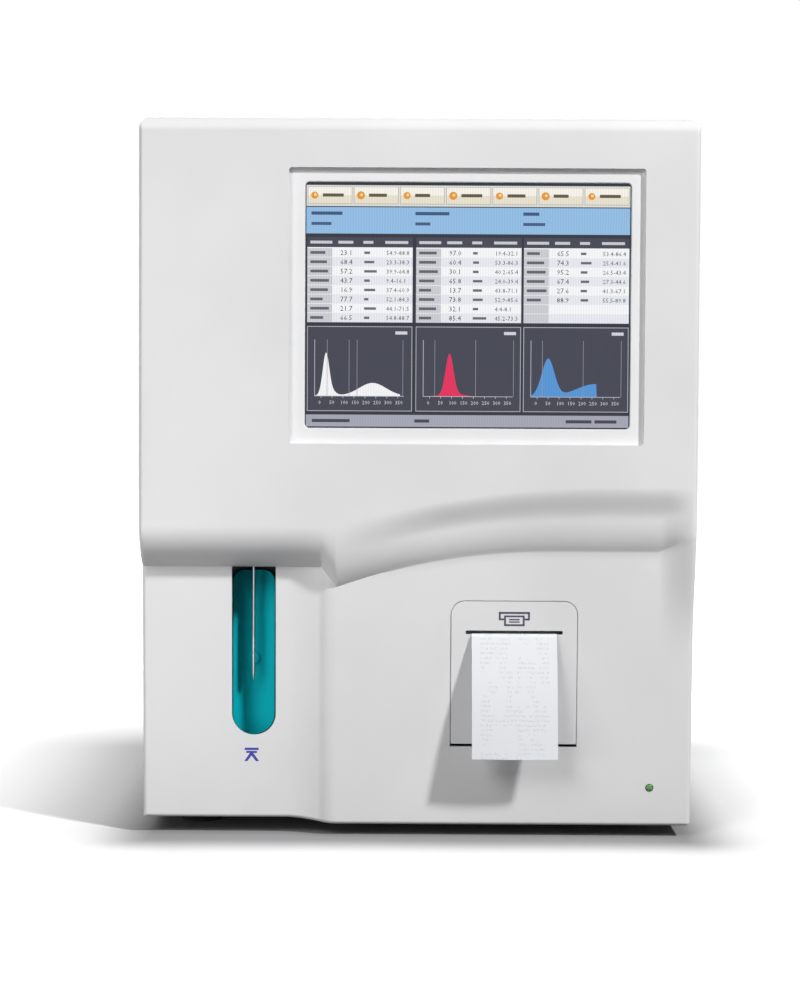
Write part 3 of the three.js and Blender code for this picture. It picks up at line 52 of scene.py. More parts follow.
# Camera. It stands about a metre and a half in front of the screen, a little left of the middle,
# and looks slightly down at the instrument, as the photograph does.
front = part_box("front_cover")[0].y / mm
camera_left, camera_far, camera_high = 0.012, 1.5, 0.291
camera_pitch, camera_roll = math.radians(90 - 2.4), math.radians(0.3)
camera_data = bpy.data.cameras.new("front_camera")
camera_data.lens = 81.7
camera = bpy.data.objects.new("front_camera", camera_data)
camera.matrix_world = (Matrix.Translation((-camera_left, front * mm - camera_far, camera_high))
                       @ Matrix.Rotation(camera_pitch, 4, "X") @ Matrix.Rotation(camera_roll, 4, "Z"))
bpy.context.scene.collection.objects.link(camera)
bpy.context.scene.camera = camera
bpy.context.scene.view_settings.view_transform = "Standard"


# Studio. A white floor, a small key lamp high on the right, a wide fill lamp high on the left, a weak low
# one for the left underside, one behind, and a pale surround that polished parts and the glass reflect.
class Term:
    """A number that a node tree works out, so that rules and paints are written with plain signs."""

    def __init__(self, tree, socket):
        self.tree, self.socket = tree, socket

    def work(self, operation, *others, swap=False, clamp=False):
        node = self.tree.add("ShaderNodeMath", {"operation": operation, "use_clamp": clamp})
        values = [self, *others]
        for socket, value in zip(node.inputs, reversed(values) if swap else values):
            self.tree.feed(socket, value)
        return Term(self.tree, node.outputs[0])

    __add__ = __radd__ = partialmethod(work, "ADD")
    __mul__ = __rmul__ = partialmethod(work, "MULTIPLY")
    __sub__ = partialmethod(work, "SUBTRACT")
    __rsub__ = partialmethod(work, "SUBTRACT", swap=True)
    __truediv__ = partialmethod(work, "DIVIDE")
    __pow__ = partialmethod(work, "POWER")
    least = partialmethod(work, "MINIMUM")
    most = partialmethod(work, "MAXIMUM")
    over = partialmethod(work, "GREATER_THAN")
    under = partialmethod(work, "LESS_THAN")
    size = partialmethod(work, "ABSOLUTE")
    sine = partialmethod(work, "SINE")
    share = partialmethod(work, "ADD", 0.0, clamp=True)

    def eased(self):
        kept = self.share()
        return kept * kept * (3 - kept * 2)


class Tree:
    """A node tree written in short calls. Sockets are named as in the tree, with _ for a space."""

    family = "ShaderNode"

    def __init__(self, tree):
        self.tree, self.nodes, self.links = tree, tree.nodes, tree.links

    def feed(self, socket, value):
        value = value.socket if isinstance(value, Term) else value
        if isinstance(value, bpy.types.NodeSocket):
            self.links.new(value, socket)
        else:
            socket.default_value = value

    def add(self, kind, settings=(), **values):
        node = self.nodes.new(kind if kind.startswith("ShaderNode") else self.family + kind)
        for key, value in dict(settings).items():
            setattr(node, key, value)
        for label, value in values.items():
            self.feed(next(s for s in node.inputs if s.name == label.replace("_", " ") and s.enabled), value)
        return node

    def made(self, kind, settings=(), **values):
        """What a new node gives first."""
        return next(output for output in self.add(kind, settings, **values).outputs if output.enabled)

    def parts(self, vector):
        return [Term(self, output) for output in self.add("ShaderNodeSeparateXYZ", Vector=vector).outputs]

    def ranged(self, value, low, high, start=0.35, end=0.65, kind="LINEAR"):
        """Spreads a part of a value's range, the middle of a noise as it stands, over another."""
        return Term(self, self.made("MapRange", {"interpolation_type": kind}, Value=value, From_Min=start,
                                    From_Max=end, To_Min=low, To_Max=high))

    def seen_share(self):
        """One where the camera, a reflection or a clear piece looks, and zero for the light itself."""
        path = self.add("LightPath").outputs
        camera_ray, glossy_ray, clear_ray = (
            Term(self, path[f"Is {ray} Ray"]) for ray in ("Camera", "Glossy", "Transmission"))
        return (camera_ray + glossy_ray + clear_ray).share()


class Paint(Tree):
    """A material, painted in the piece's own coordinates."""

    def __init__(self, name, **values):
        self.material = bpy.data.materials.new(name)
        self.material.use_nodes = True
        super().__init__(self.material.node_tree)
        self.shader = self.nodes["Principled BSDF"]
        self.place = self.add("TexCoord").outputs["Object"]
        self.set(**values)

    def set(self, **values):
        for label, value in values.items():
            self.feed(self.shader.inputs[label.replace("_", " ")], value)
        return self.material

    def noise(self, scale, detail=3.0, place=None):
        return self.made("TexNoise", Scale=scale, Detail=detail, Vector=place or self.place)

    def cloud(self, scale, low=0.0, high=1.0, detail=3.0):
        return self.ranged(self.noise(scale, detail), low, high)

    def mixed(self, share, first, second):
        return self.made("Mix", {"data_type": "RGBA"}, A=first, B=second, Factor=share)

    def bumped(self, height, strength, depth):
        """A bump of a depth in millimetres."""
        return self.set(Normal=self.made("Bump", Strength=strength, Distance=depth * mm, Height=height))


def shown(value):
    """A colour written as it shows on a screen, 0 to 255, as the light it stands for."""
    share = value / 255
    return share / 12.92 if share <= 0.04045 else ((share + 0.055) / 1.055) ** 2.4


def colour(red, green, blue):
    return (shown(red), shown(green), shown(blue), 1.0)


lamp_target = (0.0, -0.15, 0.25)
for name, place, target, lamp_size, power in (
        ("key_lamp", (1.93, -1.95, 2.32), lamp_target, 0.3, 97),
        ("fill_lamp", (-1.5, -2.7, 2.1), lamp_target, 1.6, 44),
        ("bounce_lamp", (-0.45, -0.6, 0.08), (-0.12, -0.2, 0.16), 0.2, 0.6),
        ("rear_lamp", (-0.6, 2.8, 1.1), lamp_target, 1.8, 26)):
    lamp_data = bpy.data.lights.new(name, "AREA")
    lamp_data.shape, lamp_data.size, lamp_data.energy = "DISK", lamp_size, power
    lamp = bpy.data.objects.new(name, lamp_data)
    aim = (Vector(target) - Vector(place)).to_track_quat("-Z", "Y")
    lamp.matrix_world = Matrix.Translation(place) @ aim.to_matrix().to_4x4()
    lamp.visible_camera = False
    bpy.context.scene.collection.objects.link(lamp)

world = bpy.data.worlds.new("studio")
bpy.context.scene.world = world
world.use_nodes = True
surround = Tree(world.node_tree)
background = surround.nodes["Background"].inputs
background["Color"].default_value = (1, 1, 1, 1)
surround.feed(background["Strength"], surround.ranged(surround.seen_share(), 0.05, 1.0, 0.0, 1.0))

# The floor's colour is painted darker close to the base as a painted contact shadow, and beyond it glows to
# the white of the photograph's ground. For light it bounces onto the instrument, the floor is a dark grey.
floor_half, base_half_wide, base_half_deep = 6.0, 0.18, 0.195
floor_mesh = bpy.data.meshes.new("floor")
floor_mesh.from_pydata([(-floor_half, -floor_half, 0), (floor_half, -floor_half, 0),
                        (floor_half, floor_half, 0), (-floor_half, floor_half, 0)], [], [(0, 1, 2, 3)])
floor = bpy.data.objects.new("floor", floor_mesh)
bpy.context.scene.collection.objects.link(floor)
floor_paint = Paint("floor_paint", Roughness=0.9, Specular_IOR_Level=0.1, Emission_Color=(1, 1, 1, 1))
across, along, _ = floor_paint.parts(floor_paint.place)
beside, beyond = (across.size() - base_half_wide).most(0.0), (along.size() - base_half_deep).most(0.0)
base_far = (beside ** 2.0 + beyond ** 2.0) ** 0.5


def far_share(start, end, high):
    return floor_paint.ranged(base_far, 0.0, high, start, end, "SMOOTHSTEP")


seen = floor_paint.seen_share()
# Painted contact shadow: the floor's colour runs from grey at the base to near white 5 cm out.
floor_painted_shadow = floor_paint.mixed(far_share(-0.01, 0.05, 1.0), colour(150, 150, 151), colour(244, 244, 245))
floor_paint.set(Base_Color=floor_paint.mixed(seen, colour(70, 70, 71), floor_painted_shadow),
                Emission_Strength=(far_share(0.0, 0.12, 0.3) + far_share(0.04, 0.3, 0.8)) * seen)
floor_mesh.materials.append(floor_paint.material)


# Front cover. One injection moulding in light grey plastic, 3 mm thick, that screws to the case from
# behind. Its face is one plane down to a roll, then turns in under the roll in a wave, low on the left
# and high on the right. The left panel lies deepest, and a cove joins it to the right one.
def moulded(name, tone, gloss, grain=2200.0, grain_depth=0.04, tint=0.02, **more):
    """Moulded plastic: a fine spark-eroded grain, faint flow clouds and hardly glossier high spots."""
    paint = Paint(name, Specular_IOR_Level=0.42)
    darker, lighter = (tuple(min(1.0, value * turn) for value in tone[:3]) + (1.0,)
                       for turn in (1 - 2 * tint, 1 + tint))
    paint.set(Base_Color=paint.mixed(paint.cloud(9.0, detail=4.0), darker, lighter),
              Roughness=paint.cloud(160.0, gloss * 0.92, gloss * 1.08, 2.0))
    paint.bumped(paint.noise(grain, 1.0), 0.25, grain_depth)
    return paint.set(**more)


shell_plastic = moulded("shell_plastic", colour(232, 232, 233), 0.42)


class Rule(Tree):
    """A Geometry Nodes tree with named sizes, lengths in millimetres, which ends as one plain mesh."""

    family = "GeometryNode"

    def __init__(self, name, lengths, **others):
        super().__init__(bpy.data.node_groups.new(name, "GeometryNodeTree"))
        self.lengths, self.sizes = lengths, {**lengths, **others}
        self.tree.interface.new_socket("Mesh", in_out="OUTPUT", socket_type="NodeSocketGeometry")
        for label, value in self.sizes.items():
            whole = isinstance(value, int) and label not in lengths
            self.tree.interface.new_socket(label, in_out="INPUT",
                                           socket_type="NodeSocketInt" if whole else "NodeSocketFloat")
        self.start = self.nodes.new("NodeGroupInput")

    def given(self, label):
        return Term(self, self.start.outputs[label])

    def vector(self, across, along, up):
        return self.made("ShaderNodeCombineXYZ", X=across, Y=along, Z=up)

    def place(self):
        return self.parts(self.made("InputPosition"))

    def join(self, *shapes):
        node = self.add("JoinGeometry")
        for shape in shapes:
            self.links.new(shape, node.inputs[0])
        return node.outputs[0]

    def copies(self, shape, count, start=(0, 0, 0), step=(0, 0, 0), **turned):
        row = self.made("MeshLine", Count=count, Start_Location=start, Offset=step)
        return self.made("InstanceOnPoints", Points=row, Instance=shape, **turned)

    def in_row(self, shape, **turned):
        """Copies of a shape, from the sizes named Count, Start and Step."""
        start, step = (self.vector(*(self.given(f"{label}_{axis}") for axis in "xyz"))
                       for label in ("Start", "Step"))
        return self.copies(shape, self.given("Count"), start, step, **turned)

    def index(self):
        return Term(self, self.made("InputIndex"))

    def ring(self, sides, reach):
        return self.made("CurvePrimitiveCircle", Resolution=sides, Radius=reach)

    def wire(self, curve, sides):
        """Round wire along a curve, from the size named Wire."""
        section = self.ring(sides, self.given("Wire"))
        return self.made("CurveToMesh", Curve=curve, Profile_Curve=section, Fill_Caps=True)

    def mesh(self, shape, material, name, **changed):
        if not any(node.type == "GROUP_OUTPUT" for node in self.nodes):
            plain = self.made("RealizeInstances", Geometry=shape)
            painted = self.made("SetMaterial", Geometry=plain, Material=material)
            self.links.new(painted, self.nodes.new("NodeGroupOutput").inputs[0])
        carrier = new_object(name + "_rule", bpy.data.meshes.new(name + "_rule"))
        modifier = carrier.modifiers.new("rule", "NODES")
        modifier.node_group = self.tree
        sizes = {**self.sizes, **changed}
        for item in self.tree.interface.items_tree:
            if item.in_out == "INPUT":
                value = sizes[item.name]
                modifier[item.identifier] = value * mm if item.name in self.lengths else value
        return taken(applied(carrier))


def new_object(name, mesh, material=None):
    mesh.name = name
    if material:
        mesh.materials.clear()
        mesh.materials.append(material)
    piece = bpy.data.objects.new(name, mesh)
    bpy.context.scene.collection.objects.link(piece)
    return piece


def shape_of(piece):
    """A plain mesh of what a piece shows."""
    bpy.context.view_layer.update()
    return bpy.data.meshes.new_from_object(piece.evaluated_get(bpy.context.evaluated_depsgraph_get()))


def applied(piece):
    """Turns a piece's modifiers into its plain mesh."""
    made, old = shape_of(piece), piece.data
    piece.modifiers.clear()
    piece.data = made
    bpy.data.meshes.remove(old)
    made.name = piece.name
    return piece


def taken(piece):
    """A piece's mesh, without the piece."""
    mesh = piece.data
    bpy.data.objects.remove(piece)
    return mesh


cover_wall, cover_reach, cover_low, case_top, case_half = 3, 62, 8, 480, 185
left_recess, right_recess, crease_high, panel_slope = 21, 13, 194, 8 / 186
cover = Rule("front_cover_rule", dict(
    Inset=0, Back=cover_reach, Half_width=case_half, Top=case_top, Bottom=cover_low, Left_lift=3,
    Left_recess=left_recess, Right_recess=right_recess, Left_crease=182, Left_roll=210,
    Right_crease=crease_high, Right_roll=237, Wave_low=169, Wave_run=150, Roll_run=180, Firm_run=70,
    Hollow=0.6, Hollow_run=6, Cove_start=-88, Cove_end=-54, Flare_start=161, Flare_crease=205,
    Flare_drop=70, Top_round=9, Side_round=3, Bottom_round=2.5), Lean=panel_slope)
size = cover.given
cove_start, cove_end, flare_start = size("Cove_start"), size("Cove_end"), size("Flare_start")
cove = cove_end - cove_start
cove_turn, cove_low, cove_dip, roll_turn, roll_fall, flare_fall = 0.68, 0.55, 0.3, 0.5, 0.45, 0.88


def risen(value, power):
    return 1 - (1 - value.share()) ** power


def crease_at(x):
    """The height of the crease under the wave, which dips at the cove's foot and rises at the right."""
    dip = ((x - cove_end + cove * cove_dip) / (cove * cove_dip)).share()
    left = size("Left_crease") + (size("Wave_low") - size("Left_crease")) * dip
    wave = risen((x - cove_end) / size("Wave_run"), 2.2)
    wave = size("Wave_low") + (size("Right_crease") - size("Wave_low")) * wave
    flare = ((x - flare_start) / (size("Half_width") - flare_start)).share()
    right = wave + (size("Flare_crease") - size("Right_crease")) * flare
    on_right = x.over(cove_end - 0.01 * mm)
    return left * (1 - on_right) + right * on_right


def roll_at(x):
    rise = size("Right_roll") - size("Left_roll")
    return size("Left_roll") + rise * risen((x - cove_end) / size("Roll_run"), 2.0)


def bottom_at(x):
    """The height of the cover's lower edge, which lies higher on the left."""
    return size("Bottom") + size("Left_lift") * (1 - ((x - cove_start) / cove).eased())


def panel_recess(x, z):
    """How far the lower panels lie back, left and right of the cove."""
    share = ((x - cove_start) / cove).share()
    rise = ((share / cove_turn).least(1.0) ** 2.0 * cove_low
            + risen((share - cove_turn) / (1 - cove_turn), 2.0) * (1 - cove_low))
    flat = size("Left_recess") + (size("Right_recess") - size("Left_recess")) * rise
    flare = ((x - flare_start) / (size("Half_width") - flare_start)).eased() * flare_fall
    fade = 1 - ((crease_at(x) - z) / size("Flare_drop")).eased()
    return flat * (1 - flare * fade) + (size("Right_crease") - z) * size("Lean")


def front_recess(x, z):
    """How far the face lies back: it turns in softly under the left roll and twice under the right."""
    crease, roll = crease_at(x), roll_at(x)
    turn = ((roll - z) / (roll - crease)).share()
    soft = turn ** 2.0 * 0.8 + turn ** 6.0 * 0.2
    firm = (turn / roll_turn).eased() * roll_fall + turn ** 4.0 * (1 - roll_fall)
    weight = ((x - cove_end) / size("Firm_run")).share()
    below = ((crease - z) / size("Hollow_run")).share()
    fillet = size("Hollow") * weight * (1 - below) ** 2.0
    return (panel_recess(x, z.least(crease)) - fillet) * (soft + (firm - soft) * weight)


def edge_fall(inward, radius):
    rest = (radius - inward).most(0.0).least(radius)
    return radius - (radius ** 2.0 - rest ** 2.0).most(0.0) ** 0.5


def stations(index, steps, marks):
    """A coordinate that goes from mark to mark in even steps, eased at its first mark and at its last."""
    total, done = marks[0], 0
    for count, start, end in zip(steps, marks, marks[1:]):
        share = ((index - float(done)) / float(count)).share()
        if start is marks[0]:
            share = 1 - (share * (math.pi / 2) + math.pi / 2).sine()
        elif end is marks[-1]:
            share = (share * (math.pi / 2)).sine()
        total = (end - start) * share + total
        done += count
    return total


def rounded_outline(left, low, right, high, radii, steps=2):
    """Corners, counter-clockwise from the low left, of a box in millimetres with round corners."""
    radii = radii if isinstance(radii, tuple) else (radii,) * 4
    corners = [(left, low, 1, 1), (right, low, -1, 1), (right, high, -1, -1), (left, high, 1, -1)]
    points = []
    for start, (x, z, over, up), radius in zip((180, 270, 0, 90), corners, radii):
        turns = [math.radians(start + 90 * step / steps) for step in range(steps + 1)] if radius else [0.0]
        x, z = x + over * radius, z + up * radius
        points += [(x + radius * math.cos(turn), z + radius * math.sin(turn)) for turn in turns]
    return points


def reworked(mesh, *steps):
    """A mesh after steps that each change it as a bmesh."""
    work = bmesh.new()
    work.from_mesh(mesh)
    for step in steps:
        step(work)
    work.to_mesh(mesh)
    work.free()
    return mesh


def weld(work):
    bmesh.ops.remove_doubles(work, verts=work.verts, dist=1e-6)


def settle(mesh):
    """Merges doubles and turns every face outwards."""
    return reworked(mesh, weld, lambda work: bmesh.ops.recalc_face_normals(work, faces=work.faces))


def plain_mesh(name, corners, faces):
    """A mesh from corners in millimetres."""
    made = bpy.data.meshes.new(name)
    made.from_pydata([[value * mm for value in corner] for corner in corners], [], faces)
    return made


def prism(points, front_end, back_end):
    """A closed mesh from an outline in X and Z, from its front to its back."""
    count = len(points)
    corners = [(x, y, z) for y in (front_end, back_end) for x, z in points]
    faces = [tuple(range(count)), tuple(reversed(range(count, 2 * count)))]
    faces += [(i, count + i, count + (i + 1) % count, (i + 1) % count) for i in range(count)]
    return settle(plain_mesh("prism", corners, faces))


def shifted(mesh, x=0.0, y=0.0, z=0.0):
    mesh.transform(Matrix.Translation((x * mm, y * mm, z * mm)))
    return mesh


def round_bar(radius, length, sides=32, axis="Y"):
    made = reworked(bpy.data.meshes.new("bar"), lambda work: bmesh.ops.create_cone(
        work, cap_ends=True, segments=sides, radius1=radius * mm, radius2=radius * mm, depth=length * mm))
    if axis != "Z":
        turn, about = (math.pi / 2, "Y") if axis == "X" else (-math.pi / 2, "X")
        made.transform(Matrix.Rotation(turn, 4, about))
    return made


def cut(mesh, *tools, operation="DIFFERENCE"):
    """A mesh less its tools, or united with them, or the space it shares with them."""
    piece = new_object("work_piece", mesh)
    for tool_mesh in tools:
        tool = new_object("tool", tool_mesh)
        modifier = piece.modifiers.new("cut", "BOOLEAN")
        modifier.operation, modifier.solver, modifier.object = operation, "EXACT", tool
        applied(piece)
        bpy.data.objects.remove(tool)
    return taken(piece)


def rounded_edges(piece, width, segments, angle, sharp):
    """A small radius on every sharp edge, and smooth shading over it."""
    if width:
        bevel = piece.modifiers.new("edges", "BEVEL")
        bevel.width, bevel.segments, bevel.limit_method = width * mm, segments, "ANGLE"
        bevel.angle_limit = math.radians(angle)
        bevel.harden_normals = False
        applied(piece)
    piece.data.polygons.foreach_set("use_smooth", [True] * len(piece.data.polygons))
    piece.data.set_sharp_from_angle(angle=math.radians(sharp))
    piece.modifiers.new("flat", "WEIGHTED_NORMAL").keep_sharp = True
    return applied(piece)


body_of = {node: body for body, nodes in frame["record"]["behaviour"]["bodies"].items() for node in nodes}


def placed(name, mesh, material, slot=None, body="case", node=None, edge=None, segments=2, angle=35,
           sharp=30):
    """A finished piece. With a node it stands for that solid. With an edge, even of zero, it is smoothed."""
    piece = new_object(name, mesh, material)
    if edge is not None:
        rounded_edges(piece, edge, segments, angle, sharp)
    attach(piece, body_of[node] if node else body)
    if node:
        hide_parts(node)
    return piece


door_x, door_low = 65, 63.5
panel_lean = math.atan(panel_slope)
panel_face = right_recess + (crease_high - door_low) * panel_slope
panel_place = Matrix.Translation((door_x * mm, (front + panel_face) * mm, door_low * mm))
panel_frame = panel_place @ Matrix.Rotation(panel_lean, 4, "X")


def in_panel(mesh):
    """From the lower right panel's own frame, with its origin under the door, into the part's."""
    mesh.transform(panel_frame)
    return mesh


def inside_case(inset, back_end):
    """The space within the case's outline, less an inset."""
    side, radii = case_half - inset, (0, max(3.5 - inset, 0.5), 9 - inset, 9 - inset)
    return prism(rounded_outline(-side, cover_low + inset, side, case_top - inset, radii, 10), -5, back_end)


edge, wave_end = size("Half_width") - size("Inset"), cove_end + size("Wave_run")
left_flat, right_flat = edge * -1 + size("Side_round"), edge - size("Side_round")
column_steps, row_steps = (4, 8, 30, 40, 12, 12, 4), (4, 10, 8, 24, 6, 6)
columns, rows = sum(column_steps), sum(row_steps)
grid = cover.made("MeshGrid", Size_X=float(columns), Size_Y=float(rows), Vertices_X=columns + 1,
                  Vertices_Y=rows + 1)
across, up, _ = cover.place()
x_of = stations(across + columns / 2, column_steps,
                [edge * -1, left_flat, cove_start, cove_end, wave_end, flare_start, right_flat, edge])
low, high, crease = bottom_at(x_of) + size("Inset"), size("Top") - size("Inset"), crease_at(x_of)
z_of = stations(up + rows / 2, row_steps,
                [low, low + size("Bottom_round"), crease - size("Hollow_run"), crease, roll_at(x_of),
                 high - size("Top_round"), high])
flat_sheet = cover.made("SetPosition", Geometry=grid, Position=cover.vector(x_of, size("Back"), z_of))
pushed = cover.add("ExtrudeMesh", Mesh=flat_sheet, Offset_Scale=0.0, Individual=False).outputs
x_at, _, z_at = cover.place()
side_fall = edge_fall(edge - x_at.size(), size("Side_round"))
top_fall = edge_fall(high - z_at, size("Top_round"))
low_fall = edge_fall(z_at - bottom_at(x_at) - size("Inset"), size("Bottom_round"))
depth = size("Inset") + front_recess(x_at, z_at) + side_fall.most(top_fall).most(low_fall)
faced = cover.made("SetPosition", Geometry=pushed["Mesh"], Selection=pushed["Top"],
                   Position=cover.vector(x_at, depth, z_at))
turned_back = cover.made("FlipFaces", Mesh=flat_sheet)
closed = cover.made("MergeByDistance", Geometry=cover.join(faced, turned_back), Distance=1e-7)

outer = settle(cover.mesh(closed, shell_plastic, "cover_outside"))
inner = settle(cover.mesh(closed, shell_plastic, "cover_inside", Inset=cover_wall, Back=cover_reach + 5))
outer = cut(outer, inside_case(0, cover_reach + 5), operation="INTERSECT")
inner = cut(inner, inside_case(cover_wall, cover_reach + 10), operation="INTERSECT")
screen_hole = rounded_outline(-86, 265, 149, 447, 2, 10)
bay_x, bay_half = -110, 14.8
bay_hole = rounded_outline(bay_x - bay_half, 67.5, bay_x + bay_half, 182, (bay_half, bay_half, 0, 0), 24)
openings = [prism(hole, -5, cover_reach - 10) for hole in (screen_hole, bay_hole)]
outer = shifted(cut(outer, inner, *openings), y=front)
door_half, door_high, door_gap, door_foot_gap, ledge = 84.3 / 2, 96.5, 0.7, 2.1, 0.45


def door_opening(gap, low_corner, high_corner, front_end, back_end):
    side, radii = door_half + gap, (low_corner, low_corner, high_corner, high_corner)
    outline = rounded_outline(-side, -door_foot_gap, side, door_high + gap, radii, 10)
    return prism(outline, front_end, back_end)


door_hole = door_opening(door_gap, 0.5, 9.7, -5, 0.8)
ledge_hole = door_opening(door_gap - ledge, 0.3, 9.3, -6, 13)
lamp_across, lamp_z = 92, 34
lamp_hole = shifted(round_bar(2.8, 20, 40), lamp_across, 0, (lamp_z - door_low) / math.cos(panel_lean))
placed("front_cover_moulding", cut(outer, in_panel(door_hole), in_panel(ledge_hole), in_panel(lamp_hole)),
       shell_plastic, node="front_cover", edge=0.35, angle=50, sharp=32)


# Screen. A stepped plastic bezel lies behind the opening in the cover. Behind it are the glass touch
# panel with its picture, the display module in its zinc can, and the steel bracket that holds both.
def box_of(node):
    """A solid's low corner, high corner and middle, in millimetres."""
    low_corner, high_corner = (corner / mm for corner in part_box(node))
    return low_corner, high_corner, (low_corner + high_corner) / 2


def node_copy(node):
    """A welded copy of a CAD solid's mesh, with its flat faces whole again."""
    return reworked(frame["nodes"][node].data.copy(), weld, lambda work: bmesh.ops.dissolve_limit(
        work, angle_limit=math.radians(0.5), verts=work.verts, edges=work.edges))


def dressed(node, material, edge=0.3, **finish):
    """The solid itself, with the small radii and the finish that it leaves out."""
    return placed(node + "_piece", node_copy(node), material, node=node, edge=edge, **finish)


def all_dressed(material, **edges):
    """Solids of one material, each with its edge radius."""
    for node, edge_radius in edges.items():
        dressed(node, material, edge_radius)


def metal(name, tone, gloss, brush=0.0):
    """Plated or polished metal: a faint cloudy lustre, and a drawn grain where brush is over zero."""
    paint = Paint(name, Metallic=1.0)
    darker = tuple(value * 0.86 for value in tone[:3]) + (1.0,)
    paint.set(Base_Color=paint.mixed(paint.cloud(60.0), darker, tone),
              Roughness=paint.cloud(200.0, gloss * 0.8, gloss * 1.25))
    drawn = paint.made("Mapping", Vector=paint.place, Scale=(1.0, 1.0, 0.02)) if brush else None
    return paint.bumped(paint.noise(900.0, 2.0, drawn), 0.12 + brush, 0.03)


bezel_plastic = moulded("bezel_plastic", colour(240, 240, 241), 0.5, 1800.0)
zinc_steel = metal("zinc_steel", colour(170, 174, 178), 0.42)
dressed("screen_bezel", bezel_plastic, 0.6, segments=3)
all_dressed(zinc_steel, lcd_module=0.5, display_bracket=0.3)
glass = Paint("touch_glass", Base_Color=colour(34, 37, 43), Coat_Weight=0.6)
dressed("touch_panel", glass.set(Roughness=glass.cloud(30.0, 0.08, 0.16)), 0.4)

picture_wide, picture_high = 326, 247
view_left, view_top, view_wide, view_high = -75.5, 438, 215.5, 162.5
picture_y, paint_step = box_of("touch_panel")[0].y, 0.02


def letters_of(text, **settings):
    """A text as a plain mesh."""
    curve = bpy.data.curves.new("text", "FONT")
    curve.body = text
    for key, value in settings.items():
        setattr(curve, key, value)
    holder = new_object("text", curve)
    made = shape_of(holder)
    bpy.data.objects.remove(holder)
    return made


class Picture:
    """Flat coloured shapes on the glass, placed in the picture's own dots from its top left."""

    def __init__(self):
        self.corners, self.faces, self.colours = [], [], []

    def put(self, points, tone, layer):
        start = len(self.corners)
        self.corners += [(view_left + view_wide * across / picture_wide, picture_y - layer * paint_step,
                          view_top - view_high * down / picture_high) for across, down in points]
        self.faces.append(tuple(range(start, start + len(points))))
        self.colours.append(colour(*tone))

    def area(self, left, top, right, bottom, tone, layer=2):
        self.put([(left, bottom), (right, bottom), (right, top), (left, top)], tone, layer)

    def disc(self, across, down, radius, tone, layer):
        turns = [2 * math.pi * i / 16 for i in range(16)]
        points = [(across + radius * math.cos(turn), down - radius * math.sin(turn)) for turn in turns]
        self.put(points, tone, layer)

    def filled(self, points, base, tone, layer):
        for (left, top), (right, next_top) in zip(points, points[1:]):
            self.put([(left, base), (right, base), (right, next_top), (left, top)], tone, layer)

    def number(self, text, across, down, height, tone):
        made = letters_of(text, size=1.0, resolution_u=1)
        for face in made.polygons:
            points = [made.vertices[i].co for i in face.vertices]
            self.put([(across + p.x * height, down - p.y * height) for p in points], tone, 5)
        bpy.data.meshes.remove(made)

    def mesh(self):
        made = plain_mesh("picture", self.corners, self.faces)
        paint = made.color_attributes.new("paint", "FLOAT_COLOR", "CORNER")
        for face, tone in zip(made.polygons, self.colours):
            for corner in face.loop_indices:
                paint.data[corner].color = tone
        return made


picture = Picture()
area, disc, number = picture.area, picture.disc, picture.number
area(0, 0, picture_wide, picture_high, (46, 48, 60), 1)
area(1, 3, 325, 24, (226, 226, 222))
button_pitch = 46.2
for step in range(7):
    left = 2.2 + step * button_pitch
    area(left, 4.5, left + 44.6, 22, (188, 182, 166), 3)
    area(left + 0.6, 5, left + 44, 13, (250, 247, 238), 4)
    area(left + 0.6, 13, left + 44, 21.3, (236, 229, 210), 4)
    disc(left + 7, 13.2, 3.6 + 0.5 * (step % 2), (236, 152, 38), 5)
    disc(left + 7.6, 12.6, 1.5, (252, 226, 150), 6)
    area(left + 15, 11.4, left + 36 - 3 * (step % 3), 14.6, (98, 84, 60), 5)
area(1, 25, 325, 51.5, (148, 192, 232))
for left, top_wide, low_wide in ((6, 31, 20), (110, 34, 15), (218, 16, 22)):
    area(left, 29.5, left + top_wide, 32.8, (58, 86, 126), 3)
    area(left, 40, left + low_wide, 43, (66, 92, 130), 3)

# The table of results, with made-up numbers, and the three curves under it.
random.seed(41)
table_lefts, table_wide, row_high = (2, 111, 219), 105.5, 9.33
for table, left in enumerate(table_lefts):
    right = left + table_wide
    area(left, 55, right, 140.5, (250, 251, 252))
    area(left, 55, right, 65.2, (66, 68, 83), 3)
    for start, wide in ((3, 22), (31, 15), (56, 10), (78, 23)):
        area(left + start, 58.8, left + start + wide, 61.6, (206, 208, 216), 4)
    for row in range(8):
        top = 65.8 + row * row_high
        if row % 2:
            area(left, top, right, top + row_high, (234, 237, 243), 3)
        area(left, top + 0.4, left + 25, top + 9.1, (206, 208, 214), 4)
        if row >= (8 if table < 2 else 6):
            continue
        area(left + 3, top + 3.4, left + 3 + random.uniform(12, 20), top + 6.2, (96, 98, 108), 5)
        number(f"{random.uniform(0.4, 99):.1f}", left + 33, top + 7.3, 7.2, (52, 54, 66))
        area(left + 57, top + 3.6, left + 57 + random.uniform(4, 15), top + 6.1, (104, 106, 116), 5)
        first = random.uniform(0.5, 60)
        number(f"{first:.1f}-{first * 1.6 + 1:.1f}", left + 79, top + 7.1, 6.2, (76, 78, 90))


def bell(across, centre, spread, tall):
    return tall * math.exp(-(((across - centre) / spread) ** 2))


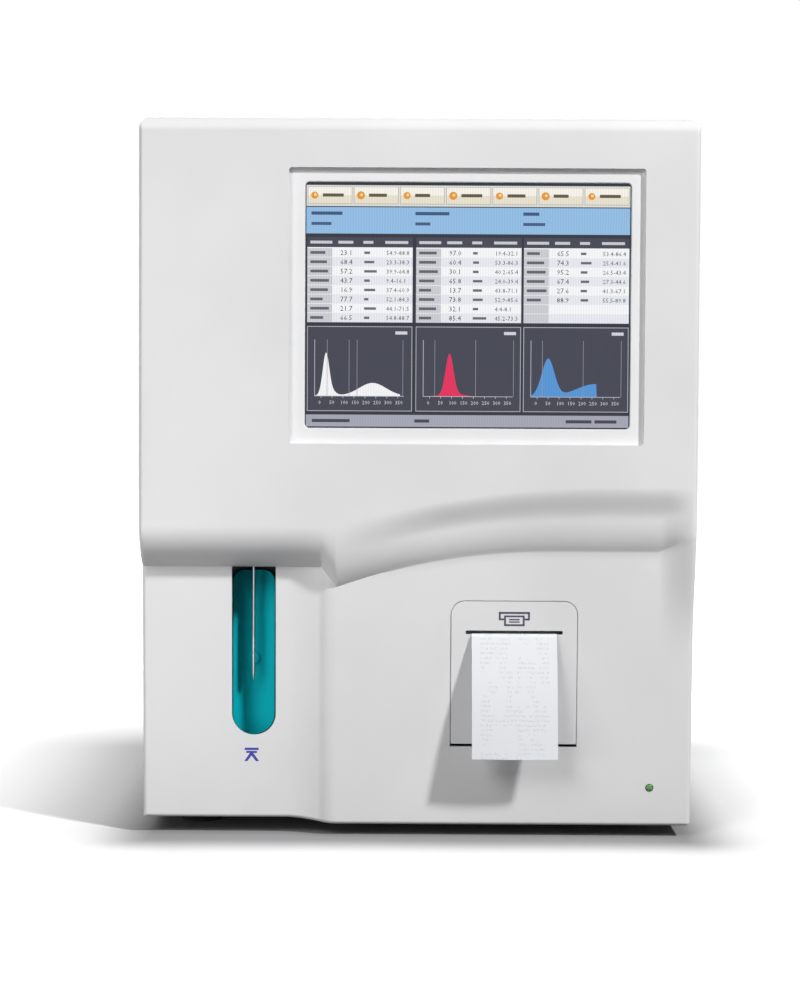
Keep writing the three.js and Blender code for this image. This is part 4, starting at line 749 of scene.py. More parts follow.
graph_curves = (
    ((248, 248, 250), lambda x: bell(x, 11, 4.5, 39) + bell(x, 15, 7, 6) + bell(x, 58, 19, 13)),
    ((232, 40, 92), lambda x: bell(x, 26, 5.5, 40) + bell(x, 30, 12, 3)),
    ((84, 150, 216), lambda x: bell(x, 17, 9, 38) + bell(x, 64, 26, 13) if x < 66 else 0.0))
graph_base, graph_top = 214.5, 158
for (tone, curve), left in zip(graph_curves, table_lefts):
    right = left + table_wide
    area(left, 144.5, right, 230, (182, 184, 194))
    area(left + 0.7, 145.2, right - 0.7, 229.3, (64, 66, 80), 3)
    area(left + 7.4, graph_top, left + 8, graph_base, (190, 192, 202), 4)
    area(left + 7.4, graph_base, right - 8, graph_base + 0.6, (190, 192, 202), 4)
    heights = [(left + 8 + x * 0.5, graph_base - curve(x * 0.5)) for x in range(172)]
    picture.filled(heights, graph_base, tone, 5)
    for mark in (12, 34, 42, 88) if left == 2 else (11, 52, 90):
        area(left + 8 + mark, graph_top, left + 8.5 + mark, graph_base, (150, 152, 166), 6)
    for tick in range(8):
        across = left + 11.5 + tick * 11
        area(across + 2.5, graph_base, across + 3, graph_base + 2.4, (200, 202, 210), 5)
        number(str(tick * 50), across, 223, 5.2, (206, 208, 216))
    area(right - 17, 149.5, right - 5, 152.6, (214, 216, 224), 5)
area(1, 233.5, 325, 245.5, (166, 169, 182))
for left, wide in ((7, 38), (110, 15), (262, 26), (291, 22)):
    area(left, 238, left + wide, 241.2, (64, 66, 80), 3)


def wave_scale(pitch):
    """The scale at which a wave texture repeats after a pitch in millimetres."""
    return 1 / (pitch * mm) / 20


lit = Paint("screen_picture", Base_Color=colour(12, 13, 16), Roughness=0.14, Specular_IOR_Level=0.25,
            Emission_Strength=0.96)
raster = lit.made("TexWave", {"bands_direction": "X"}, Scale=wave_scale(0.28), Vector=lit.place)
lit.set(Emission_Color=lit.made("Mix", {"data_type": "RGBA", "blend_type": "MULTIPLY"}, Factor=0.1, B=raster,
                                A=lit.made("Attribute", {"attribute_name": "paint"})))
placed("screen_picture", picture.mesh(), lit.material, "screen")


# Probe bay. The dark liner closes the U-shaped opening. The teal key in it is pressed to start a draw,
# with the switch behind it. The steel needle comes down through the wash block in the liner's roof.
bay_plastic = moulded("bay_plastic", colour(30, 33, 36), 0.55, 1500.0)
teal_plastic = moulded("teal_plastic", colour(4, 212, 226), 0.6, 2400.0, 0.02, 0.05, Specular_IOR_Level=0.12)
white_nylon = moulded("white_nylon", colour(232, 231, 225), 0.48, 1500.0)
switch_plastic = moulded("switch_plastic", colour(60, 63, 68), 0.5, 1500.0)
bright_steel = metal("bright_steel", colour(214, 217, 221), 0.24, 0.1)
dressed("probe_bay_liner", bay_plastic)
dressed("aspirate_key", teal_plastic, 0.7, segments=3)
dressed("key_switch", switch_plastic)
dressed("wash_block", white_nylon, 0.4)
dressed("probe_needle", metal("needle_steel", colour(146, 149, 153), 0.34, 0.1), 0, sharp=40)


def speckled(name, first, second, scale, detail=3.0, **more):
    """A tone that turns a little into another in small specks."""
    paint = Paint(name, **more)
    return paint.set(Base_Color=paint.mixed(paint.cloud(scale, detail=detail), first, second))


def prints(outlines, face_y=0.0, slope=0.0, stand=0.06):
    """Thin raised print: plates from outlines in X and Z, on a face that leans back as it goes down."""
    corners, faces = [], []
    for outline in outlines:
        start, count = len(corners), len(outline)
        corners += [(x, face_y - z * slope - lift, z) for lift in (stand, -stand) for x, z in outline]
        near, far = range(start, start + count), range(start + count, start + 2 * count)
        faces += [tuple(near), tuple(reversed(far))]
        faces += [(near[i - 1], far[i - 1], far[i], near[i]) for i in range(count)]
    return settle(plain_mesh("print", corners, faces))


def strokes(boxes, x=0.0, z=0.0, corner=0.3, steps=2):
    """Outlines of boxes with round corners."""
    return [rounded_outline(x + left, z + low_end, x + right, z + high_end, corner, steps)
            for left, low_end, right, high_end in boxes]


# The mark printed under the bay in blue-violet ink: a short bar over an arrow that points up.
mark_ink = speckled("mark_ink", colour(52, 54, 150), colour(66, 68, 170), 900.0, 2.0, Roughness=0.4)
mark_x, mark_top = -111.5, 58.8
arrow = [(-5.0, -9.2), (-2.9, -9.2), (0, -5.3), (2.9, -9.2), (5.0, -9.2), (1.2, -3.6), (3.6, -3.6),
         (3.6, -2.2), (-3.6, -2.2), (-3.6, -3.6), (-1.2, -3.6)]
bar = [(-4.7, -1.6), (4.7, -1.6), (4.7, 0), (-4.7, 0)]
placed("bay_mark", prints([[(mark_x + x, mark_top + z) for x, z in shape] for shape in (arrow, bar)],
                          front + left_recess + crease_high * panel_slope, panel_slope), mark_ink, "shell")


# Needle drive. The needle hangs in a nylon carriage, which a screw lifts along two ground rods. A folded
# zinc frame holds them, and a stepper motor sits on its top shelf.
black_metal = metal("black_metal", colour(52, 54, 58), 0.5)
all_dressed(white_nylon, probe_carriage=0.5)
all_dressed(bright_steel, left_guide_rod=0.2, right_guide_rod=0.2, lift_screw=0.2)
all_dressed(zinc_steel, lift_frame=0.25)
all_dressed(black_metal, lift_motor=0.5)


# Printer. The door is a flat moulding in the cover's grey that swings down on two knuckles and a steel pin.
# It carries the paper slot, a printed pictogram and a saw-toothed steel edge that the strip is torn on.
door_thick, slot_z, slot_high, slot_half, paper_half = 2.5, 75.5, 2.7, 32.5, 28.5
hinge_y, hinge_z, knuckle_long = 5.3, 5.5, 12
door_outline = rounded_outline(-door_half, 0, door_half, door_high, (0.6, 0.6, 9, 9), 14)
door = in_panel(prism(door_outline, 0, door_thick))
for side in (-1, 1):
    middle = side * (door_half - 24 + knuckle_long / 2)
    root = prism(rounded_outline(middle - knuckle_long / 2, 3.3, middle + knuckle_long / 2, 7.7, 0.2),
                 door_thick - 0.5, hinge_y)
    knuckle = shifted(round_bar(2.2, knuckle_long, axis="X"), middle, hinge_y, hinge_z)
    door = cut(door, in_panel(root), in_panel(knuckle), operation="UNION")
pin_hole = shifted(round_bar(1.4, 100, axis="X"), 0, hinge_y, hinge_z)
slit = rounded_outline(-slot_half, slot_z - slot_high / 2, slot_half, slot_z + slot_high / 2, 0.9, 4)
placed("printer_door_moulding", cut(door, in_panel(pin_hole), in_panel(prism(slit, -2, 10))), shell_plastic,
       node="printer_door", edge=0.4, segments=3, angle=50)

tear = Rule("tear_edge_rule", dict(Pitch=1.6, Tooth_high=0.7, Strip_high=2.6, Thick=0.35), Teeth=38)
size = tear.given
tooth = tear.made("MeshCone", Vertices=3, Radius_Top=0.0, Radius_Bottom=0.5, Depth=1.0)
flat_tooth = tear.made("Transform", Geometry=tooth, Rotation=(0, 0, math.pi / 6),
                       Scale=tear.vector(size("Pitch") * 1.15, size("Thick") * 1.3, size("Tooth_high")))
row_start = tear.vector((size("Teeth") - 1) * size("Pitch") * -0.5, 0.0, size("Strip_high") / 2)
teeth = tear.copies(flat_tooth, size("Teeth"), row_start, tear.vector(size("Pitch"), 0.0, 0.0))
strip_wide = size("Teeth") * size("Pitch")
strip = tear.made("MeshCube", Size=tear.vector(strip_wide, size("Thick"), size("Strip_high")))
tear_mesh = shifted(tear.mesh(tear.join(teeth, strip), bright_steel, "tear_edge"), 0, door_thick + 0.12,
                    slot_z - slot_high / 2 - 1.75)
placed("tear_edge", in_panel(tear_mesh), bright_steel, "bright_steel", "printer_door")

pictogram_ink = speckled("pictogram_ink", colour(66, 60, 84), colour(80, 75, 98), 900.0, 2.0, Roughness=0.45)
icon_strokes = [
    (-10.4, 2.9, 10.4, 4.3), (-10.4, -1.4, -9.1, 4.3), (9.1, -1.4, 10.4, 4.3), (-10.4, -1.4, -6.9, -0.1),
    (6.9, -1.4, 10.4, -0.1), (-6.9, -5.3, -5.6, 1.9), (5.6, -5.3, 6.9, 1.9), (-6.9, 0.7, 6.9, 1.9),
    (-6.9, -5.3, 6.9, -4.0), (-3.6, -1.4, 3.6, -0.4), (-3.6, -3.0, 3.6, -2.1)]
placed("door_pictogram", in_panel(prints(strokes(icon_strokes, z=85.2, steps=3))), pictogram_ink, "shell",
       "printer_door")

# The works behind the door: a black moulded frame, the aluminium print head, the rubber platen with its
# gear, the stepper motor with a brass pinion, the roll in its cradle, and the door's latch.
rubber_black = moulded("rubber_black", colour(34, 34, 36), 0.82, 700.0, 0.08)
brass = metal("brass", colour(202, 172, 104), 0.3)
aluminium = metal("aluminium", colour(188, 192, 196), 0.4, 0.15)
all_dressed(bright_steel, door_hinge_pin=0.15)
all_dressed(switch_plastic, printer_frame=0.25)
all_dressed(aluminium, print_head=0.3)
all_dressed(rubber_black, platen_roller=0.06)
all_dressed(brass, motor_pinion=0.06)
all_dressed(black_metal, printer_motor=0.5)
all_dressed(switch_plastic, door_latch=0.3)

# The thermal paper: a 57 mm roll on its core, and the strip that comes out of the slot and hangs forward
# in a shallow curve, with the faint grey print of a finished report on it.
paper = Paint("thermal_paper", Roughness=0.72, Specular_IOR_Level=0.3)
across, _, up = paper.parts(paper.place)
line_pitch, print_left, print_right = 3.1 * mm, 42 * mm, 88 * mm
in_line = ((up / line_pitch).work("FRACT") - 0.5).size().under(0.27)
in_page = across.over(print_left) * across.under(print_right)
letters_at = paper.made("Mapping", Vector=paper.place, Scale=(1.0, 0.0, 0.55))
letters, words = (Term(paper, paper.noise(scale, 1.0, letters_at)) for scale in (1150.0, 120.0))
print_share = letters.over(0.52) * words.over(0.5) * in_line * in_page * 0.2
paper.set(Base_Color=paper.mixed(print_share, colour(229, 230, 233), colour(118, 120, 132)))
paper.bumped(paper.noise(1400.0), 0.2, 0.03)
dressed("paper_roll", moulded("roll_paper", colour(240, 240, 241), 0.75, 1400.0, 0.05), 0, sharp=40)

strip_path = [(3.0, 74.45), (0.0, 74.45), (-0.8, 74.15), (-1.6, 73.5)]
lip_out, lip_z = strip_path[-1]
strip_out, strip_down, strip_bend, strip_bow = 25.2, 79.0, 2.6, 1.3
strip_steps, strip_across, slot_points = 40, 16, len(strip_path) - 1
for step in range(1, strip_steps + 1):
    share = step / strip_steps
    out = lip_out - strip_out * share - strip_bend * math.sin(math.pi * share)
    strip_path.append((out, lip_z - strip_down * share))
strip_corners, strip_faces, row_long = [], [], strip_across + 1
for step, (out, up) in enumerate(strip_path):
    hang = max(0.0, (step - slot_points) / strip_steps)
    for i in range(row_long):
        share = 2 * i / strip_across - 1
        strip_corners.append((share * paper_half, out + strip_bow * hang * share * share, up))
        if step and i:
            corner = (step - 1) * row_long + i - 1
            strip_faces.append((corner, corner + row_long, corner + row_long + 1, corner + 1))
sheet = new_object("strip_sheet", in_panel(plain_mesh("strip", strip_corners, strip_faces)))
thickness = sheet.modifiers.new("thickness", "SOLIDIFY")
thickness.thickness, thickness.offset = 0.12 * mm, 0.0
printed_strip = placed("printed_strip", settle(taken(applied(sheet))), paper.material, node="paper_strip",
                       edge=0, sharp=60)


# Power lamp. A green lens with a domed tip, pushed through the lower right panel from behind, on a flange.
# The tinted plastic is a dull mid green.
lens_plastic = speckled("lens_plastic", colour(52, 122, 44), colour(84, 150, 70), 700.0, Roughness=0.2,
                        Coat_Weight=0.4)
dressed("power_lamp", lens_plastic, 0, sharp=50)


# Feet. Four tapered rubber pads, each held up into the tray by a screw in a deep well in its underside.
# The screws, like all the others on the case, are one rule: a tapered head with a cross recess.
row_sizes = {f"{label}_{axis}": 0 for label in ("Start", "Step") for axis in "xyz"}
screw = Rule("screw_rule", dict(row_sizes, Radius=3.0, Thick=1.8), Count=1, Turn_x=0.0, Turn_y=0.0, Sides=16,
             Taper=0.82, Cross_long=1.2, Cross_wide=0.28, Bore=0.12, Depth=0.6)
size = screw.given
head = screw.made("MeshCone", Vertices=size("Sides"), Radius_Top=size("Radius") * size("Taper"),
                  Radius_Bottom=size("Radius"), Depth=size("Thick"))
cross_long, cross_wide = size("Radius") * size("Cross_long"), size("Radius") * size("Cross_wide")
recess = screw.add("MeshBoolean", {"operation": "DIFFERENCE", "solver": "EXACT"}, Mesh_1=head)
bore_reach = size("Radius") * size("Bore")
bore = screw.made("MeshCone", Vertices=12, Radius_Top=bore_reach, Radius_Bottom=bore_reach,
                  Depth=size("Thick"))
arms = [screw.made("MeshCube", Size=screw.vector(over, up, size("Thick")))
        for over, up in ((cross_long, cross_wide), (cross_wide, cross_long))]
for tool, rise in (*((arm, 1.0) for arm in arms), (bore, 1.1)):
    sunk = screw.made("Transform", Geometry=tool,
                      Translation=screw.vector(0.0, 0.0, size("Thick") * (rise - size("Depth"))))
    screw.feed(recess.inputs["Mesh 2"], sunk)
screw_row = screw.in_row(recess.outputs["Mesh"], Rotation=screw.vector(size("Turn_x"), size("Turn_y"), 0.0))
faces_up, faces_down = {}, {"Turn_x": math.pi}
faces_front, faces_back = {"Turn_x": math.pi / 2}, {"Turn_x": -math.pi / 2}
faces_left, faces_right = {"Turn_y": -math.pi / 2}, {"Turn_y": math.pi / 2}


def joined(meshes):
    """One mesh of several, which it uses up."""
    made = reworked(bpy.data.meshes.new("joined"), lambda work: [work.from_mesh(mesh) for mesh in meshes])
    for mesh in meshes:
        bpy.data.meshes.remove(mesh)
    return made


def in_rows(rule, shape, name, rows, material, slot, **sizes):
    """One piece from rows of (count, start, step) of what a rule makes."""
    meshes = [rule.mesh(shape, material, name, Count=count, **sizes, **dict(zip(row_sizes, (*start, *step))))
              for count, start, step in rows]
    return placed(name, joined(meshes), material, slot)


def screws(name, rows, facing, material=bright_steel, slot="bright_steel", **sizes):
    return in_rows(screw, screw_row, name, rows, material, slot, **facing, **sizes)


def pairs(start, over, apart):
    """Two rows of two, the second one step apart from the first."""
    second = [first + more for first, more in zip(start, apart)]
    return [(2, start, (over, 0, 0)), (2, second, (over, 0, 0))]


for node in ("front_left_foot", "front_right_foot", "rear_left_foot", "rear_right_foot"):
    middle = box_of(node)[2]
    tools = [shifted(round_bar(4.6, 6, 24, "Z"), middle.x, middle.y, 1.6)]
    for groove in (9.2, 12.0):
        wide, narrow = (shifted(round_bar(groove + half, long, 40, "Z"), middle.x, middle.y)
                        for half, long in ((0.5, 2), (-0.5, 4)))
        tools.append(cut(wide, narrow))
    placed(node + "_pad", cut(node_copy(node), *tools), rubber_black, node=node, edge=0.35)
case_long, foot_y, foot_step = 400, 86, 274
screws("foot_screws", pairs((-150, front + foot_y, 3.7), 300, (0, foot_step, 0)), faces_down, Radius=3.6)


# Case. Folded steel sheet, 1.5 mm thick, in the cover's light grey with a fine orange peel. The tray and the
# inner plate are bare zinc. Flush screws hold the sides to the tray, and pan heads hold the rear panel.
painted_steel = moulded("painted_steel", colour(229, 230, 231), 0.46, 620.0, 0.09, 0.015)
all_dressed(zinc_steel, base_tray=0.3, inner_chassis=0.3)
side_y, side_z, side_step = -122, 20, 150
for node, side, facing in (("left_side_panel", -1, faces_left), ("right_side_panel", 1, faces_right)):
    holes = [shifted(round_bar(3.5, 6, 24, "X"), side * case_half, side_y + i * side_step, side_z)
             for i in range(3)]
    placed(node + "_sheet", cut(node_copy(node), joined(holes)), painted_steel, node=node, edge=0.35)
    screws(node + "_screws", [(3, (side * 184.2, side_y, side_z), (0, side_step, 0))], facing, Radius=3.2,
           Thick=1.3, Taper=0.92)
all_dressed(painted_steel, top_cover=0.35, rear_panel=0.25)
rear = front + case_long - 3
screws("rear_screws", [
    (4, (-165, rear + 0.9, 16), (110, 0, 0)), (3, (-150, rear + 0.9, 468), (150, 0, 0)),
    (3, (-176, rear + 0.9, 130), (0, 0, 130)), (3, (176, rear + 0.9, 130), (0, 0, 130))], faces_back)
screws("chassis_screws", [(4, (-150, front + 182, 14), (100, 0, 0))], faces_up, Radius=2.8)

# A blank rating plate on the rear panel: satin foil with grey bars where a maker's text would be.
foil = metal("plate_foil", colour(206, 208, 210), 0.45, 0.05)
plate_edge = rounded_outline(-156, 122, -92, 160, 2, 5)
placed("rating_plate", prints([plate_edge], rear, stand=0.15), foil, "aluminium")
bars = [(-152, 152, -118, 156), (-152, 146, -128, 148), (-152, 142, -122, 144), (-152, 138, -132, 140),
        (-152, 126, -140, 134), (-136, 126, -124, 134), (-112, 140, -97, 155), (-112, 128, -97, 130)]
placed("rating_bars", prints(strokes(bars), rear + 0.15, stand=0.05), pictogram_ink, "port")


# Fluids. The two blood baths are clear acrylic cups on a shelf in their folded shield. The waste jar, the
# pump with its ribbed head and the five valves on their rail stand beside and above them.
acrylic = Paint("clear_acrylic", Base_Color=colour(228, 236, 238), Transmission_Weight=0.9, IOR=1.49)
acrylic.set(Roughness=acrylic.cloud(60.0, 0.04, 0.12))
clear_acrylic = acrylic.bumped(acrylic.noise(300.0, 1.0), 0.1, 0.02)
all_dressed(clear_acrylic, white_cell_bath=0.4, red_cell_bath=0.4)
dressed("bath_shield", zinc_steel)
dressed("waste_chamber", white_nylon, 0.9, segments=3)
dressed("vacuum_pump", black_metal, 0.6, segments=3)
dressed("valve_manifold", white_nylon, 0.5)

# Short bars in rows or in a ring: the grip on the jar's lid, the pump's ribs, terminals, legs and pins.
bar_row = Rule("bar_row_rule", dict(row_sizes, Wide=1, Deep=1, High=1), Count=1, Crown=0.6)
size = bar_row.given
shaft = bar_row.made("MeshCube", Size=bar_row.vector(size("Wide"), size("Deep"), size("High") * 0.8))
crown = bar_row.made("MeshCone", Vertices=4, Radius_Top=size("Crown") * math.sqrt(0.5),
                     Radius_Bottom=math.sqrt(0.5), Depth=1.0)
crown = bar_row.made("Transform", Geometry=crown, Rotation=(0, 0, math.pi / 4))
crown = bar_row.made("Transform", Geometry=crown, Translation=bar_row.vector(0.0, 0.0, size("High") * 0.4),
                     Scale=bar_row.vector(size("Wide"), size("Deep"), size("High") * 0.2))
bars_shape = bar_row.in_row(bar_row.join(shaft, crown))
bar_ring = Rule("bar_ring_rule", dict(Reach=22, Out=0.5, Across=1, High=10), Count=40)
size = bar_ring.given
rib = bar_ring.made("MeshCone", Vertices=6, Radius_Top=0.5, Radius_Bottom=0.5, Depth=1.0)
rib = bar_ring.made("Transform", Geometry=rib, Translation=bar_ring.vector(size("Reach"), 0.0, 0.0),
                    Scale=bar_ring.vector(size("Out") * 2, size("Across"), size("High")))
turned_on = bar_ring.vector(0.0, 0.0, bar_ring.index() * (2 * math.pi) / size("Count"))
ring_shape = bar_ring.copies(rib, size("Count"), Rotation=turned_on)


def bar_rows(name, rows, sizes, material, slot):
    wide, deep, high = sizes
    return in_rows(bar_row, bars_shape, name, rows, material, slot, Wide=wide, Deep=deep, High=high)


def ribs_round(name, place, material, slot, **sizes):
    return placed(name, shifted(bar_ring.mesh(ring_shape, material, name, **sizes), *place), material, slot)


_, jar_high, jar = box_of("waste_chamber")
ribs_round("jar_lid_grip", (jar.x, jar.y, jar_high.z - 6), white_nylon, "nylon")
pump_low, pump_high, pump = box_of("vacuum_pump")
for side, label in ((-1, "left"), (1, "right")):
    rows = [(7, (pump.x + side * 20.4, pump_low.y + 5, 21), (0, 5, 0))]
    bar_rows(f"pump_{label}_ribs", rows, (1.2, 2.2, 18), black_metal, "black_metal")
pump_deep = pump_high.y - pump_low.y
screws("pump_screws", pairs((pump.x - 16, pump_low.y + 4, 34), 32, (0, pump_deep - 8, 0)), faces_up,
       Radius=2.2)
ribs_round("pump_band", (pump.x, pump.y, 56), bright_steel, "bright_steel",
           Count=28, Reach=16, Out=0.35, Across=3.5, High=8)
valve_pitch, nut = 20.8, dict(Sides=6, Cross_long=0.4, Cross_wide=0.4)
valve_x, valve_step = -70 + valve_pitch / 2, (valve_pitch, 0, 0)
screws("valve_nuts", [(5, (valve_x, box_of("valve_manifold")[0].y - 1.4, 227), valve_step)], faces_front,
       Radius=4.6, Thick=3.0, Taper=0.96, Bore=0.5, **nut)
bar_rows("valve_terminals", [(5, (valve_x + side, -44, 243), valve_step) for side in (-3, 3)], (0.8, 4.5, 7),
         brass, "brass")
screws("manifold_screws", [(4, (valve_x + valve_pitch / 2, -58, 240.9), valve_step)], faces_up, Radius=2.4)


# Dosing syringe. An acrylic barrel with printed graduations hangs in a zinc bracket. Its nylon plunger is
# driven up by the screw beside it, which a stepper motor under the lower shelf turns.
dressed("syringe_bracket", zinc_steel)
dressed("syringe_barrel", clear_acrylic)
dressed("syringe_plunger", white_nylon)
dressed("syringe_screw", bright_steel, 0.15)

# Rounded wire in stacked rings, for graduations and seals, and wound as the thread of a screw.
wire_rings = Rule("wire_rings_rule", dict(Pitch=1, Reach=9, Wire=0.1), Count=1)
size = wire_rings.given
hoop = wire_rings.wire(wire_rings.ring(32, size("Reach")), 6)
hoops = wire_rings.copies(hoop, size("Count"), step=wire_rings.vector(0.0, 0.0, size("Pitch")))
thread = Rule("thread_rule", dict(Long=40, Reach=3, Wire=0.22), Turns=20.0)
size = thread.given
coil = thread.made("CurveSpiral", Resolution=16, Rotations=size("Turns"), Start_Radius=size("Reach"),
                   End_Radius=size("Reach"), Height=size("Long"))
thread_shape = thread.wire(coil, 4)


def wired(rule, shape, name, place, material, slot, body="case", tilt=0.0, **sizes):
    made = rule.mesh(shape, material, name, **sizes)
    made.transform(Matrix.Rotation(tilt, 4, "X"))
    return placed(name, settle(shifted(made, *place)), material, slot, body)


thread_clear, thread_pitch = 2, 2
for node, reach in (("syringe_screw", 2.86), ("lift_screw", 3.84)):
    low, high, middle = box_of(node)
    long = high.z - low.z - 2 * thread_clear
    wired(thread, thread_shape, node + "_thread", (middle.x, middle.y, low.z + thread_clear), bright_steel,
          "bright_steel", body_of[node], Turns=float(int(long / thread_pitch)), Long=long, Reach=reach)
barrel_low, _, barrel = box_of("syringe_barrel")
for name, count, pitch, reach, wire in (("fine", 21, 2.5, 9.0, 0.08), ("coarse", 5, 10.0, 9.02, 0.16)):
    wired(wire_rings, hoops, f"syringe_{name}_marks", (barrel.x, barrel.y, barrel_low.z + 9), pictogram_ink,
          "port", Count=count, Pitch=pitch, Reach=reach, Wire=wire)
piston_top = box_of("syringe_plunger")[1].z
wired(wire_rings, hoops, "piston_seals", (barrel.x, barrel.y, piston_top - 7), rubber_black, "rubber",
      "plunger", Count=2, Pitch=4, Reach=6.5, Wire=0.38)
screws("bracket_screws", pairs((70, barrel_low.y + 30.4, 250), 44, (0, 0, 148)), faces_front, Thick=1.6)

# The two stepper motors: a stack of punched steel plates between cast aluminium end caps.
stack = Paint("stack_steel", Metallic=0.7, Roughness=0.5)
plates = stack.add("TexWave", {"bands_direction": "Z"}, Scale=wave_scale(0.7), Distortion=0.4,
                   Vector=stack.place).outputs["Fac"]
stack.set(Base_Color=stack.mixed(plates, colour(38, 39, 42), colour(74, 76, 80)))
stack_steel = stack.bumped(plates, 0.4, 0.1)


def layer(middle, half, low_end, high_end, corner):
    """A square plate with round corners, from one height to another."""
    made = prism(rounded_outline(-half, -half, half, half, corner), low_end, high_end)
    made.transform(Matrix.Rotation(math.pi / 2, 4, "X"))
    return shifted(made, middle.x, middle.y)


for node, facing, sink in (("lift_motor", faces_up, -0.2), ("syringe_motor", faces_down, 0.2)):
    low, high, middle = box_of(node)
    half, cap = (high.x - low.x) / 2 - 0.01, 6
    core = layer(middle, half - 0.7, low.z + cap, high.z - cap, 4.5)
    placed(node + "_stack", core, stack_steel, node=node, edge=0.2)
    for label, low_end in (("low", low.z), ("high", high.z - cap)):
        placed(f"{node}_{label}_cap", layer(middle, half, low_end, low_end + cap, 4), aluminium, "aluminium",
               edge=0.5)
    reach, face = half - 5, (low.z if facing else high.z) + sink
    corner = (middle.x - reach, middle.y - reach, face)
    screws(node + "_screws", pairs(corner, 2 * reach, (0, 2 * reach, 0)), facing, Radius=2.3)


# Electronics. The green main board stands on pegs behind the inner plate, with its chips, capacitors,
# headers and rows of small parts. The power supply is a folded aluminium box with slots in its lid.
board_y = box_of("main_board")[0].y + 1.6
board = Paint("board_paint")
turned_place = board.made("Mapping", Vector=board.place, Rotation=(math.pi / 2, 0, 0))
tracks = board.made("TexBrick", {"offset": 0.37, "squash": 0.6}, Vector=turned_place, Scale=120.0,
                    Mortar_Size=0.045, Brick_Width=1.7, Row_Height=0.22, Mortar=colour(48, 128, 84),
                    Color1=colour(22, 86, 54), Color2=colour(26, 94, 60))
on_chip = board.parts(board.place)[1].over((board_y + 0.3) * mm)
board.set(Base_Color=board.mixed(on_chip, tracks, colour(34, 35, 38)),
          Roughness=board.cloud(300.0, 0.3, 0.5))
dressed("main_board", board.bumped(board.noise(900.0, 1.0), 0.15, 0.03), 0.25)
chips = [(-89, 347), (37.5, 326), (-43, 263), (58.2, 252.5)]
bar_rows("chip_legs", [(14, (x - 15.6, board_y + 1.0, z + side * 13.2), (2.4, 0, 0)) for x, z in chips
                       for side in (-1, 1)], (0.9, 2.2, 3.4), bright_steel, "bright_steel")
small_rows = ((9, -20, 300, 6.5, 0), (7, -100, 300, 6.5, 0), (6, -120, 240, 0, 8), (8, -75, 226, 6, 0),
              (8, 20, 282, 6, 0), (5, 84, 290, 0, 9))
rows = [(count, (x, board_y + 0.6, z), (over, 0, up)) for count, x, z, over, up in small_rows]
bar_rows("small_parts", rows, (2.6, 1.5, 1.4), moulded("part_tan", colour(176, 152, 116), 0.4), "port")
rows = [(5, (-20, board_y + 4.8, 380), (13, 0, 0)), (3, (-120, board_y + 4.8, 385), (12, 0, 0))]
screws("capacitors", rows, faces_back, stack_steel, "black_metal", Radius=4.2, Thick=10, Taper=0.97,
       Cross_wide=0.08, Cross_long=1.3, Depth=0.06)
screws("board_screws", pairs((-129, board_y + 0.8, 206), 218, (0, 0, 198)), faces_back, Thick=1.5, Radius=2.6)


def block(left, low_end, wide, high, front_end, back_end, corner, steps=2):
    """A box with round upright corners as seen from the front."""
    outline = rounded_outline(left, low_end, left + wide, low_end + high, corner, steps)
    return prism(outline, front_end, back_end)


# Moulded socket strips with a well, open to the back, and their pins.
header_wall, header_high, header_z = 1.2, 8, 212
for i, (x, wide) in enumerate(((-100, 40), (-40, 28), (20, 34), (70, 24))):
    name, left, low = f"board_header_{i + 1}", x - wide / 2, header_z - header_high / 2
    body = block(left, low, wide, header_high, board_y - 0.1, board_y + 9, 0.5)
    well = block(left + header_wall, low + header_wall, wide - 2 * header_wall, header_high - 2 * header_wall,
                 board_y + 2, board_y + 12, 0.4)
    placed(name, cut(body, well), white_nylon, "nylon", edge=0.2, segments=1)
    screws(name + "_pins", [(int((wide - 3) / 2.5), (left + 2.6, board_y + 4.5, header_z), (2.5, 0, 0))],
           faces_back, Sides=6, Radius=0.4, Thick=5, Cross_long=0.3, Depth=0.05)

dressed("power_supply", aluminium, 0.5)
supply_low, supply_high, _ = box_of("power_supply")
terminal_x, terminal_z, terminal_pitch = supply_low.x + 24, supply_high.z - 14, 9.9
wells = [block(terminal_x - 3.4 + terminal_pitch * i, terminal_z - 9, 7, 12, supply_low.y - 9,
               supply_low.y - 3, 0.4) for i in range(7)]
terminals = block(terminal_x - 6, terminal_z - 8, 72, 15, supply_low.y - 8, supply_low.y + 0.5, 1, 3)
placed("terminal_strip", cut(terminals, *wells), switch_plastic, "port", edge=0.25, segments=1)
screws("terminal_screws", [(7, (terminal_x, supply_low.y - 3.8, terminal_z - 2.5), (terminal_pitch, 0, 0))],
       faces_front, Radius=2.7, Thick=1.8)
screws("supply_screws", pairs((supply_low.x + 5, supply_low.y + 7, supply_high.z + 0.5), 100,
                              (0, supply_high.y - supply_low.y - 14, 0)), faces_up, Radius=2.3, Thick=1.2)


# Rear fittings. The fan sits behind the rear panel under a welded wire guard. Below it are the reagent
# ports, the data sockets, the earth post, and the mains inlet with its rocker.
fan_plastic = moulded("fan_plastic", colour(40, 42, 45), 0.45, 1500.0)
dressed("fan_frame", fan_plastic, 0.4)
dressed("fan_rotor", fan_plastic, 0.25, sharp=40)
guard = Rule("fan_guard_rule", dict(Reach=38.6, Wire=0.8, Eye=3.2, Hole=50.56), Rings=3, Arms=4)
size, number_on = guard.given, guard.index()
ring_size = (number_on + 1) * size("Reach") / size("Rings")
guard_rings = guard.copies(guard.ring(64, 1.0), size("Rings"), Scale=guard.vector(ring_size, ring_size, 1.0))
arm = guard.made("CurvePrimitiveLine", Start=guard.vector(0.0, 0.0, size("Wire")),
                 End=guard.vector(size("Hole") - size("Eye"), 0.0, size("Wire")))
eye = guard.made("Transform", Geometry=guard.ring(20, size("Eye")),
                 Translation=guard.vector(size("Hole"), 0.0, size("Wire")))
